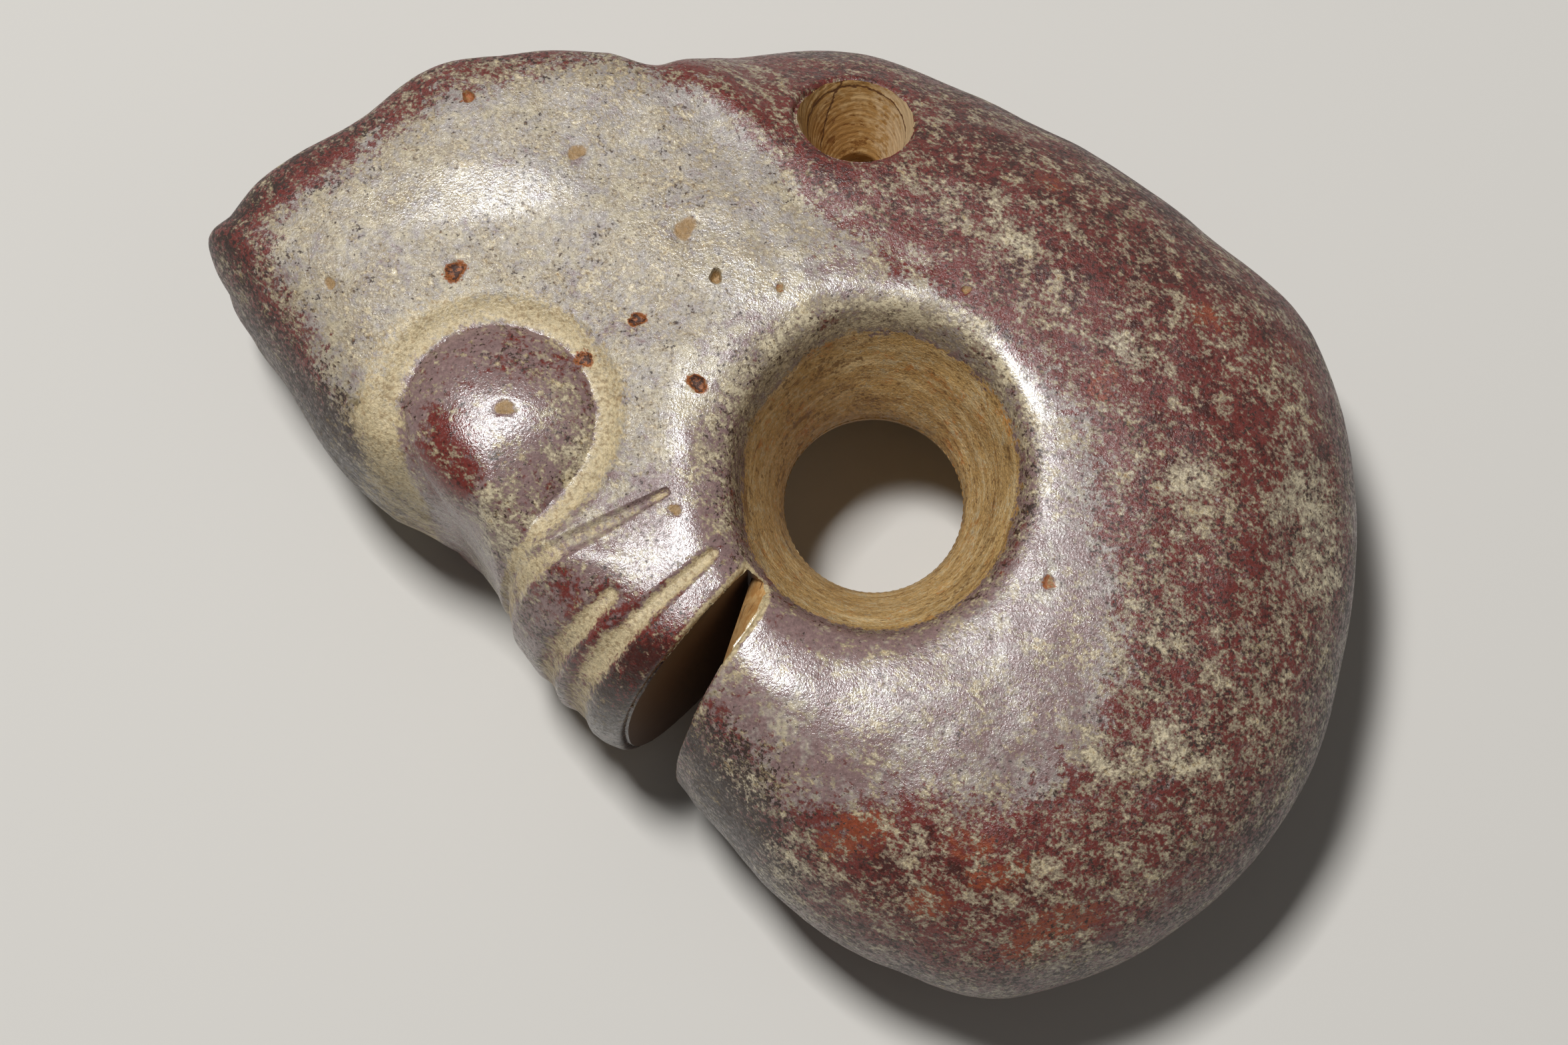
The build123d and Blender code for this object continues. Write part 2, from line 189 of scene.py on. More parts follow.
# %% [markdown]
# ## Smooth helpers
#
# Every law of the surface is a smooth function of place, so a few helpers come first: a
# soft step, the softer of two heights, and a curve that runs round the stone through the
# rows of a table without overshooting them.

# %% Helpers for smooth curves
def direction(degrees):
    """Unit vector in the middle plane."""
    turn = math.radians(degrees)
    return np.array([math.cos(turn), math.sin(turn)])


def smooth_step(t):
    t = np.clip(t, 0, 1)
    return t * t * (3 - 2 * t)


def turned(x, y, middle, degrees):
    """Distances from a middle point, along a direction and across it."""
    run = direction(degrees)
    away_x, away_y = x - middle[0], y - middle[1]
    return away_x * run[0] + away_y * run[1], away_y * run[0] - away_x * run[1]


def softer_of(a, b, softness):
    """The lower of two heights, with the edge between them rounded."""
    return 0.5 * (a + b - np.sqrt((a - b) ** 2 + softness ** 2))


def around(rows, column, degrees):
    """One column of a table at any direction, as a smooth curve with no overshoot."""
    knots = np.array([row[0] for row in rows], float)
    values = np.array([row[column] for row in rows], float)
    knots = np.concatenate([knots[-2:] - 360, knots, knots[:3] + 360])
    values = np.concatenate([values[-2:], values, values[:3]])
    gaps = np.diff(knots)
    rises = np.diff(values) / gaps
    both = rises[:-1] * rises[1:]
    mean = both / np.where(both > 0, (rises[:-1] + rises[1:]) / 2, 1)
    slopes = np.where(both > 0, mean, 0)
    at = np.mod(degrees, 360)
    i = np.clip(np.searchsorted(knots, at, side="right") - 1, 1, len(knots) - 3)
    t = (at - knots[i]) / gaps[i]
    start = values[i] + t * gaps[i] * slopes[i - 1]
    end = values[i + 1] - (1 - t) * gaps[i] * slopes[i]
    return start + smooth_step(t) * (end - start)


print("outline at the ear tip", round(float(around(SECTIONS, 1, 161) * BACK_REACH), 1), "mm")

# %% [markdown]
# ## The polished stone before carving
#
# The stone could be sculpted, but it follows a plain rule: in every direction from the hole
# a profile runs from the hole's waist, up the funnel, over the ring and the flank, and down
# to the outer edge. So each point has two coordinates, the direction in degrees and the
# step along the profile, and one function gives its place.

# %% Profile of the stone
CREST_STEP = 0.5


def inner_height(reach, crest, crest_height, ring, mouth):
    """Height above the middle plane from the hole's wall to the crest of the flank."""
    ring = np.minimum(ring, RING_SHARE * crest)
    inward = np.clip((ring - reach) / (ring - HOLE_RADIUS), 0, None)
    outward = (reach - ring) / (crest - ring)
    flank = HALF_THICKNESS - RING_DIP * inward ** 2
    flank = flank + (crest_height - HALF_THICKNESS) * smooth_step(outward)
    widened = (reach - HOLE_RADIUS) / (mouth * FUNNEL_FLARE) + WAIST_SOFTNESS
    funnel = np.sqrt(np.clip(widened ** 2 - WAIST_SOFTNESS ** 2, 0, None))
    return softer_of(funnel, flank, RIM_SOFTNESS)


def smooth_surface(turn, step):
    """Upper half of the stone before it is carved, in mm round the hole axis."""
    columns = [around(SECTIONS, column, turn) for column in range(1, len(SECTIONS[0]))]
    outline, crest, height, full, edge, lift, ring, mouth = columns
    outline = outline * BACK_REACH
    crest = crest * outline
    crest_height = height * HALF_THICKNESS
    edge = edge * outline
    lift = lift * HALF_THICKNESS
    ring = ring * RING_RADIUS

    inner = np.clip(step / CREST_STEP, 0, 1)
    inner_reach = HOLE_RADIUS + (crest - HOLE_RADIUS) * inner ** 2
    inner_rise = inner_height(inner_reach, crest, crest_height, ring, mouth)

    outer = np.clip((step - CREST_STEP) / (1 - CREST_STEP), 0, 1)
    cleft_part = lift / (2 * HALF_THICKNESS)
    fall = np.clip(outer / (1 - cleft_part), 0, 1) * math.pi / 2
    size = (np.cos(fall) ** full + np.sin(fall) ** full) ** (1 / full)
    cleft = np.clip((outer - 1 + cleft_part) / np.maximum(cleft_part, 1e-6), 0, 1)
    top = inner_height(crest, crest, crest_height, ring, mouth)
    outer_reach = crest + (edge - crest) * np.sin(fall) / size
    outer_reach = outer_reach + (outline - edge) * cleft ** CLEFT_SHAPE
    outer_rise = lift * (1 - cleft) + (top - lift) * np.cos(fall) / size

    reach = np.where(step > CREST_STEP, outer_reach, inner_reach)
    rise = np.where(step > CREST_STEP, outer_rise, inner_rise)
    rise = np.where((step <= 0) | (step >= 1), 0, rise)
    angle = np.radians(turn)
    return np.stack([reach * np.cos(angle), reach * np.sin(angle), rise], -1)


print("ear tip at", smooth_surface(np.array([161.0]), np.array([1.0]))[0].round(1), "mm")

# %% [markdown]
# ## Carved lines, pits and worn edges
#
# The carver ground the eye, its ring and the wrinkles with grit on a wheel, which leaves
# round-bottomed grooves. Where a mineral grain fell out there is a small pit, and handling
# has rounded the edges of the slit and of the cord hole. All of these lie in the surface, so
# they are one relief in millimetres, added square to the smooth stone.

# %% Eye and wrinkles
def drop_rim(x, y):
    """Distance from the eye's middle, and the drop-shaped rim in that direction."""
    from_eye = np.hypot(x - EYE_X, y - EYE_Y)
    turn = np.degrees(np.arctan2(y - EYE_Y, x - EYE_X)) - EYE_POINT_ANGLE
    turn = np.abs((turn + 180) % 360 - 180)
    tangent = math.degrees(math.acos(EYE_RADIUS / EYE_POINT))
    return from_eye, EYE_RADIUS / np.cos(np.radians(np.clip(tangent - turn, 0, None)))


def eye_groove(x, y):
    """1 in the groove's floor and under the boss, 0 outside."""
    from_eye, rim = drop_rim(x, y)
    return smooth_step(1.5 - 1.3 * (from_eye - rim) / EYE_GROOVE_WIDTH)


def eye_relief(x, y):
    from_eye, rim = drop_rim(x, y)
    boss = EYE_RISE * np.clip(1 - (from_eye / rim) ** 2, 0, None) ** (0.75 * rim / EYE_RADIUS)
    return boss - EYE_GROOVE_DEPTH * eye_groove(x, y)


def wrinkle(x, y):
    """1 in the floor of a wrinkle, 0 outside."""
    cut = np.zeros_like(x)
    for start, bend, end, (wide_start, wide_end) in WRINKLES:
        a, b, c = (np.array(point) * BACK_REACH for point in (start, bend, end))
        wide_bend = (wide_start + wide_end) / 2
        for p, q, wide_p, wide_q in ((a, b, wide_start, wide_bend), (b, c, wide_bend, wide_end)):
            run = q - p
            along = ((x - p[0]) * run[0] + (y - p[1]) * run[1]) / np.dot(run, run)
            along = np.clip(along, 0, 1)
            away = np.hypot(x - p[0] - along * run[0], y - p[1] - along * run[1])
            half = WRINKLE_WIDTH * (wide_p + along * (wide_q - wide_p)) / 2
            cut = np.maximum(cut, smooth_step(1.3 - 0.8 * away / half))
    return cut


# %% Flaw and pits
# Each pit: middle x, y, radius and depth in mm, and how rusty its floor is, from 0 to 1.
PITS = [
    (-27.0, 12.6, 0.7, 0.25, 1.0), (-15.3, 9.2, 0.5, 0.25, 1.0), (-18.7, 6.8, 0.55, 0.25, 1.0),
    (-11.4, 4.9, 0.6, 0.25, 1.0), (-26.4, 24.6, 0.45, 0.4, 0.7), (-10.3, 12.0, 0.45, 0.75, 0.2),
    (-12.3, 15.3, 1.0, 0.08, 0.1), (-19.3, 20.6, 0.75, 0.08, 0.1), (-23.6, 3.3, 0.75, 0.1, 0.1),
    (-12.8, -3.3, 0.5, 0.08, 0.1), (-35.1, 12.0, 0.5, 0.08, 0.1), (10.7, -8.0, 0.45, 0.15, 0.6),
    (-6.2, 11.2, 0.3, 0.15, 0.4), (5.7, 11.1, 0.35, 0.15, 0.4),
]


def flaw(x, y):
    """1 in the shallow natural hollow in the back, 0 outside."""
    across, along = turned(x, y, direction(FLAW_ANGLE) * FLAW_REACH, FLAW_ANGLE)
    return smooth_step(1.3 - np.hypot(2 * along / FLAW_LENGTH, 2 * across / FLAW_WIDTH))


def pits(x, y):
    """Depth of the pits, how rusty each place is, and how far it lies in a pit."""
    depth = np.zeros_like(x)
    rust = np.zeros_like(x)
    inside = np.zeros_like(x)
    for k, (pit_x, pit_y, radius, pit_depth, rusty) in enumerate(PITS):
        turn = np.arctan2(y - pit_y, x - pit_x)
        uneven = 1 + 0.18 * np.sin(2 * turn + k) + 0.10 * np.sin(3 * turn + 2 * k)
        away = np.hypot(x - pit_x, y - pit_y) / (radius * uneven)
        hollow = smooth_step(1.6 * (1.05 - away))
        depth = np.maximum(depth, pit_depth * hollow)
        rust = np.maximum(rust, rusty * smooth_step(1.6 - away))
        inside = np.maximum(inside, hollow)
    return depth, rust, inside


# %% Worn edges of the slit and the cord hole
SLIT_WEAR = 0.5            # radius of the worn edge, mm
CORD_WEAR = 0.55
SLIT_TOP = 1.5 * HALF_THICKNESS     # well above the stone, where the wall no longer leans
NUDGE = 0.02               # step along the profile for working out what is square to it
NUDGE_TURN = 20 * NUDGE    # the same round the hole, in degrees


def slit_lean(along, height):
    """How far the tail's wall leans in, at a distance from the slit's inner end and a height."""
    even = SLIT_LEAN * np.clip(1 - height / SLIT_TOP, 0, 1)
    aslant = FACET_LEAN - FACET_SLOPE * np.clip(height - FACET_LOW, 0, FACET_RISE)
    return even + np.clip(1 - along / FACET_LENGTH, 0, 1) * (aslant - even)


def slit_distance(x, y, z):
    """Plan distance outside the slit's walls, negative inside the slit."""
    outward = direction(SLIT_ANGLE)
    aside = direction(SLIT_ANGLE + 90)
    along = x * outward[0] + y * outward[1] - SLIT_STOP
    across = x * aside[0] + y * aside[1] + SLIT_OFFSET
    half = SLIT_WIDTH / 2 + SLIT_SPREAD * along / 2
    lean = slit_lean(np.clip(along, 0, None), np.abs(z))
    return np.maximum(np.maximum(across - half + lean, -across - half), -along)


def cord_section(z):
    """Middle and radius of the cord hole at a height."""
    up = np.clip(np.abs(z) - CORD_HOLE_LAND / 2, 0, None)
    shift = up * math.tan(math.radians(CORD_HOLE_TILT))
    outward = np.array([CORD_X, CORD_Y]) / math.hypot(CORD_X, CORD_Y)
    radius = CORD_HOLE_RADIUS + up * math.tan(math.radians(CORD_HOLE_TAPER))
    return CORD_X + outward[0] * shift, CORD_Y + outward[1] * shift, radius


def cord_distance(x, y, z):
    middle_x, middle_y, radius = cord_section(z)
    return np.hypot(x - middle_x, y - middle_y) - radius


# %% Carved surface
def rounded(distance, radius):
    """How far an edge that is worn to a radius sinks, at a distance from the wall."""
    near = np.clip(1 - distance / radius, 0, 1)
    return radius * (1 - np.sqrt(1 - near ** 2))


def relief(x, y, z):
    """How far the carved and worn surface stands off the smooth one."""
    depth, _, _ = pits(x, y)
    height = eye_relief(x, y) - WRINKLE_DEPTH * wrinkle(x, y) - FLAW_DEPTH * flaw(x, y) - depth
    height = height - rounded(slit_distance(x, y, z), SLIT_WEAR)
    return height - rounded(cord_distance(x, y, z), CORD_WEAR)


def carved_surface(turn, step):
    """The smooth surface, raised or cut square to itself by the carving."""
    base = smooth_surface(turn, step)
    back = np.clip(step - NUDGE / 2, 0, 1)
    ahead = np.clip(step + NUDGE / 2, 0, 1)
    along = smooth_surface(turn, ahead) - smooth_surface(turn, back)
    across = smooth_surface(turn + NUDGE_TURN, step) - smooth_surface(turn - NUDGE_TURN, step)
    normal = np.cross(along, across)
    length = np.linalg.norm(normal, axis=-1, keepdims=True)
    normal = normal / np.maximum(length, 1e-9)
    flat = (step <= 0) | (step >= 1)
    normal[:, 2] = np.where(flat, 0, normal[:, 2])
    return base + normal * relief(*base.T)[:, None]


print("deepest pit", max(row[3] for row in PITS), "mm of", len(PITS))

# %% [markdown]
# ## A net that is fine where the surface is busy
#
# An even grid would waste faces inside the hole and miss the groove's edges. Instead a
# coarse net is refined: every edge whose middle stands off the true surface, or that is
# long, is halved, and its triangles are divided to suit. Each round does all edges at once.

# %% Coarse net
COARSE_TURNS = 72
COARSE_STEPS = 16


def coarse_net():
    points = [(360 * i / COARSE_TURNS, j / COARSE_STEPS)
              for i in range(COARSE_TURNS) for j in range(COARSE_STEPS + 1)]
    triangles = []
    for i in range(COARSE_TURNS):
        for j in range(COARSE_STEPS):
            a = i * (COARSE_STEPS + 1) + j
            b = (i + 1) % COARSE_TURNS * (COARSE_STEPS + 1) + j
            if (i + j) % 2:
                triangles += [(a, b, b + 1), (a, b + 1, a + 1)]
            else:
                triangles += [(a, b, a + 1), (b, b + 1, a + 1)]
    return np.array(points), np.array(triangles)


points, triangles = coarse_net()
print("triangles in the coarse net", len(triangles))

# %% Halve edges and divide triangles
LARGEST_SAG = 0.010        # mm
SHORTEST_EDGE = 0.20
LONGEST_EDGE = 0.95


def halved_edges(points, triangles):
    """New points in the middle of the edges that need them, and their place in each triangle."""
    sides = np.concatenate([triangles[:, [0, 1]], triangles[:, [1, 2]], triangles[:, [2, 0]]])
    edges, number = np.unique(np.sort(sides, axis=1), axis=0, return_inverse=True)
    p, q = points[edges[:, 0]], points[edges[:, 1]]
    turn = (q[:, 0] - p[:, 0] + 180) % 360 - 180
    middle = np.stack([(p[:, 0] + turn / 2) % 360, (p[:, 1] + q[:, 1]) / 2], 1)
    start, end = carved_surface(*p.T), carved_surface(*q.T)
    off = np.linalg.norm(carved_surface(*middle.T) - (start + end) / 2, axis=1)
    long = np.linalg.norm(end - start, axis=1)
    cut = (off > LARGEST_SAG) & (long > SHORTEST_EDGE) | (long > LONGEST_EDGE)
    new = np.full(len(edges), -1)
    new[cut] = len(points) + np.arange(cut.sum())
    return np.concatenate([points, middle[cut]]), new[number].reshape(3, -1).T


def divided(triangles, halves):
    """Each triangle split according to which of its sides were halved."""
    count = (halves >= 0).sum(1)
    result = [triangles[count == 0]]
    for first in range(3):
        order = [(first + k) % 3 for k in range(3)]
        corner, half = triangles[:, order], halves[:, order]
        one = (count == 1) & (half[:, 0] >= 0)
        a, b, c, ab = *corner[one].T, half[one, 0]
        result += [np.stack([a, ab, c], 1), np.stack([ab, b, c], 1)]
        two = (count == 2) & (half[:, 2] < 0)
        a, b, c, ab, bc = *corner[two].T, half[two, 0], half[two, 1]
        result += [np.stack([ab, b, bc], 1), np.stack([a, ab, bc], 1), np.stack([a, bc, c], 1)]
    three = count == 3
    a, b, c, ab, bc, ca = *triangles[three].T, *halves[three].T
    result += [np.stack([a, ab, ca], 1), np.stack([ab, b, bc], 1)]
    result += [np.stack([ca, bc, c], 1), np.stack([ab, bc, ca], 1)]
    return np.concatenate(result)


# %% Refine the net
ROUNDS = 7
for _ in range(ROUNDS):
    more, halves = halved_edges(points, triangles)
    if len(more) == len(points):
        break
    points, triangles = more, divided(triangles, halves)
print("triangles in the upper half", len(triangles))

# %% [markdown]
# ## One closed mesh
#
# The lower half is the mirror of the upper one. The two share the points of the middle
# plane, at the waist of the hole and along the outer edge, so the shell is closed.

# %% Mesh of both halves
def to_frame(places):
    """Places in mm round the hole axis, in metres in the frame."""
    return places * MM + np.array([HOLE_X, HOLE_Y, MIDDLE_Z])


def in_scene(name, data):
    """A new object for a mesh, a light or a camera, put in the scene."""
    thing = bpy.data.objects.new(name, data)
    bpy.context.scene.collection.objects.link(thing)
    return thing


def mesh_object(name, places, faces, material):
    mesh = bpy.data.meshes.new(name)
    mesh.from_pydata(to_frame(np.asarray(places, float)).tolist(), [], [list(face) for face in faces])
    mesh.validate()
    mesh.materials.append(material)
    return in_scene(name, mesh)


def both_halves(points, triangles):
    upper = carved_surface(*points.T)
    shared = (points[:, 1] <= 0) | (points[:, 1] >= 1)
    upper[shared, 2] = 0
    lower_number = np.arange(len(upper))
    lower_number[~shared] = len(upper) + np.arange((~shared).sum())
    lower = upper[~shared] * (1, 1, -1)
    mirrored = lower_number[triangles][:, ::-1]
    return np.concatenate([upper, lower]), np.concatenate([triangles, mirrored])


# %% [markdown]
# ## Sawing and drilling
#
# The slit was sawn with a string and sand, and the cord hole was drilled aslant from both
# flanks. Cutting the mesh with a tool of the same shape keeps the crisp inner walls, and
# each tool carries the finish that its wall is left with. The drill's cone is a stack of
# rings whose radius trembles a little, which gives the turning marks in the hole.

# %% Cutting tools
TURNING_PITCH = 0.45       # mm between turning marks
TURNING_DEPTH = 0.035
RING_SIDES = 72
DRILL_SEED = 7
FACET_STATIONS = 5         # places along the slanting cut


def stacked(name, rings, material):
    """A closed mesh from a stack of rings with the same number of points."""
    sides = len(rings[0])
    last = sides * (len(rings) - 1)
    faces = [tuple(range(sides))[::-1], tuple(range(last, last + sides))]
    for low in range(0, last, sides):
        for k in range(sides):
            a, b = low + k, low + (k + 1) % sides
            faces.append((a, b, b + sides, a + sides))
    return mesh_object(name, [place for ring in rings for place in ring], faces, material)


def slit_tool(material):
    outward = direction(SLIT_ANGLE)
    aside = direction(SLIT_ANGLE + 90)
    inner = outward * SLIT_STOP - aside * SLIT_OFFSET
    stations = (*np.linspace(0, FACET_LENGTH, FACET_STATIONS), 2 * BACK_REACH - SLIT_STOP)
    levels = [FACET_LOW, FACET_LOW + FACET_RISE, SLIT_TOP]
    rings = []
    for height in [-level for level in levels[::-1]] + levels:
        snout_side = []
        tail_side = []
        for along in stations:
            middle = inner + outward * along
            half = SLIT_WIDTH / 2 + SLIT_SPREAD * along / 2
            snout_side.append((*(middle - aside * half), height))
            tail_side.append((*(middle + aside * (half - slit_lean(along, abs(height)))), height))
        rings.append(snout_side + tail_side[::-1])
    return stacked("slit_tool", rings, material)


def drill_tool(material):
    top = CORD_HOLE_LAND / 2 + HALF_THICKNESS
    turns = [2 * math.pi * k / RING_SIDES for k in range(RING_SIDES)]
    random = np.random.default_rng(DRILL_SEED)
    rings = []
    for height in np.arange(-top, top, TURNING_PITCH / 3):
        x, y, radius = cord_section(height)
        wave = math.sin(2 * math.pi * height / TURNING_PITCH)
        wide = radius + TURNING_DEPTH * wave * random.uniform(0.2, 1)
        rings.append([(x + wide * math.cos(turn), y + wide * math.sin(turn), height) for turn in turns])
    return stacked("drill_tool", rings, material)


def apply_modifiers(piece):
    """Keeps what a piece's modifiers make as a plain mesh."""
    depsgraph = bpy.context.evaluated_depsgraph_get()
    mesh = bpy.data.meshes.new_from_object(piece.evaluated_get(depsgraph))
    piece.modifiers.clear()
    piece.data = mesh


def cut_with(piece, tool):
    cut = piece.modifiers.new("cut", "BOOLEAN")
    cut.operation = "DIFFERENCE"
    cut.solver = "EXACT"
    cut.material_mode = "TRANSFER"
    cut.object = tool
    apply_modifiers(piece)
    bpy.data.objects.remove(tool)


# %% [markdown]
# ## Finishes
#
# Nephrite is a tough, felted stone that takes a waxy polish. This pebble is mottled: a warm
# grey body, oxblood staining from iron, cream grains where the stone has altered, and dark
# specks. Noises sized in real millimetres draw that all round the stone and through its cuts
# with no seam. The felt itself is far too fine to show, so the finest noises are drawn
# coarser, 0.16 to 0.3 mm wide. Each colour is a coat: its level, chosen by place, is raised
# and lowered by noise, and the coat shows where the sum passes a limit. So a higher level
# means more grains, and no border is a smooth line. Every colour is an sRGB hex value.

# %% Helpers for materials
def linear(hex_colour):
    """An sRGB hex value as linear red, green, blue and alpha."""
    values = [int(hex_colour[k:k + 2], 16) / 255 for k in (1, 3, 5)]
    return [v / 12.92 if v <= 0.04045 else ((v + 0.055) / 1.055) ** 2.4 for v in values] + [1.0]


MATH, VECTOR_MATH, MAP_RANGE = "ShaderNodeMath", "ShaderNodeVectorMath", "ShaderNodeMapRange"
NOISE, MAPPING = "ShaderNodeTexNoise", "ShaderNodeMapping"
FACTOR, UNDER, OVER, MIXED = 0, 6, 7, 2     # sockets of a colour mix
NEPHRITE_IOR = 1.61
WAXY_GLOSS = 0.5           # plain reflection of polished stone, with no film of dirt or grease


def add(tree, kind, inputs=None, output=0, **settings):
    """Adds a node and gives one of its outputs. Each input takes a value, a hex colour or an
    output of another node."""
    made = tree.nodes.new(kind)
    for name, value in settings.items():
        setattr(made, name, value)
    for key, value in (inputs or {}).items():
        if isinstance(value, bpy.types.NodeSocket):
            tree.links.new(value, made.inputs[key])
        else:
            is_colour = isinstance(value, str) and value.startswith("#")
            made.inputs[key].default_value = linear(value) if is_colour else value
    return made.outputs[output] if len(made.outputs) else None


# %% Coats of colour, broken up by noise
def coats(tree, colour, layers):
    """Lays colours over one another, each where its amount goes from low to high."""
    for over, amount, low, high in layers:
        share = add(tree, MAP_RANGE, {"Value": amount, "From Min": low, "From Max": high},
                    interpolation_type="SMOOTHSTEP")
        colour = add(tree, "ShaderNodeMix", {FACTOR: share, UNDER: colour, OVER: over}, MIXED,
                     data_type="RGBA")
    return colour


def raised(tree, level, *noises):
    """A level, or the one stored on the points under a name, with shares of noises added."""
    if isinstance(level, str):
        level = add(tree, "ShaderNodeAttribute", output="Fac", attribute_name=level)
    for noise, share in noises:
        level = add(tree, MATH, {0: noise, 1: share, 2: level}, operation="MULTIPLY_ADD")
    return level


def mottle(tree, place, grains, level=0.0):
    """A level raised and lowered by noises, each with a size in mm, a strength and a shift."""
    for size, strength, shift in grains:
        moved = add(tree, VECTOR_MATH, {0: place, 1: (shift, 0.6 * shift, -shift)})
        noise = add(tree, NOISE, {"Vector": moved, "Scale": 1 / size,
                    "Detail": 4.0 if size > 1 else 2.5, "Roughness": 0.72})
        centred = add(tree, MATH, {0: noise, 1: 0.5}, operation="SUBTRACT")
        level = raised(tree, level, (centred, strength))
    return level


# %% Start and finish a material
def new_material(name):
    material = bpy.data.materials.new(name)
    material.use_nodes = True
    material.node_tree.nodes.clear()
    return material, material.node_tree


def in_mm(tree):
    """Place in millimetres round the hole axis."""
    return add(tree, MAPPING, {
        "Vector": add(tree, "ShaderNodeTexCoord", output="Object"),
        "Location": (-HOLE_X / MM, -HOLE_Y / MM, -MIDDLE_Z / MM),
        "Scale": (1 / MM, 1 / MM, 1 / MM),
    })


def finish_material(tree, settings):
    shader = add(tree, "ShaderNodeBsdfPrincipled", settings)
    add(tree, "ShaderNodeOutputMaterial", {"Surface": shader})


def finish_stone(tree, colour, roughness, height, depth, strength=0.6):
    """Nephrite with a bump that goes from 0 to a depth in metres."""
    bump = add(tree, "ShaderNodeBump", {"Strength": strength, "Distance": depth, "Height": height})
    finish_material(tree, {"Base Color": colour, "Roughness": roughness, "Normal": bump,
                    "IOR": NEPHRITE_IOR, "Specular IOR Level": WAXY_GLOSS})


# %% Marks that a turning drill leaves
TURNING_STREAKS = 2.4      # how often the marks change once round the axis


def turning_marks(tree, place, middle, rise):
    """Noise drawn out round an upright axis; rise is its change for each mm of height."""
    from_axis = add(tree, VECTOR_MATH, {0: place, 1: (*middle, 0)}, operation="SUBTRACT")
    flat = add(tree, VECTOR_MATH, {0: from_axis, 1: (1, 1, 0)}, operation="MULTIPLY")
    round_axis = add(tree, VECTOR_MATH, {0: flat}, operation="NORMALIZE")
    upright = add(tree, VECTOR_MATH, {0: place, 1: (0, 0, rise)}, operation="MULTIPLY")
    wound = add(tree, VECTOR_MATH, {0: round_axis, 1: [TURNING_STREAKS] * 3, 2: upright},
                operation="MULTIPLY_ADD")
    return add(tree, NOISE, {"Vector": wound, "Scale": 1.0, "Detail": 4.0, "Roughness": 0.7})


# %% Polished mottled nephrite
GRAIN_RUN = -30.0          # direction in which the cream grains are drawn out, in degrees
GRAIN_DRAWN = 1.25         # how much longer than wide they are
FELT_SIZE = 0.26           # mm
SWELL_SIZE = 4.5           # the broadest unevenness of the polish, mm
SWELL_SHARE = 9.0          # how strong it is beside the finer ones
POLISHED, WEATHERED = 0.17, 0.65            # roughness
POLISHED_BUMP, WEATHERED_BUMP = 0.032, 0.20     # mm


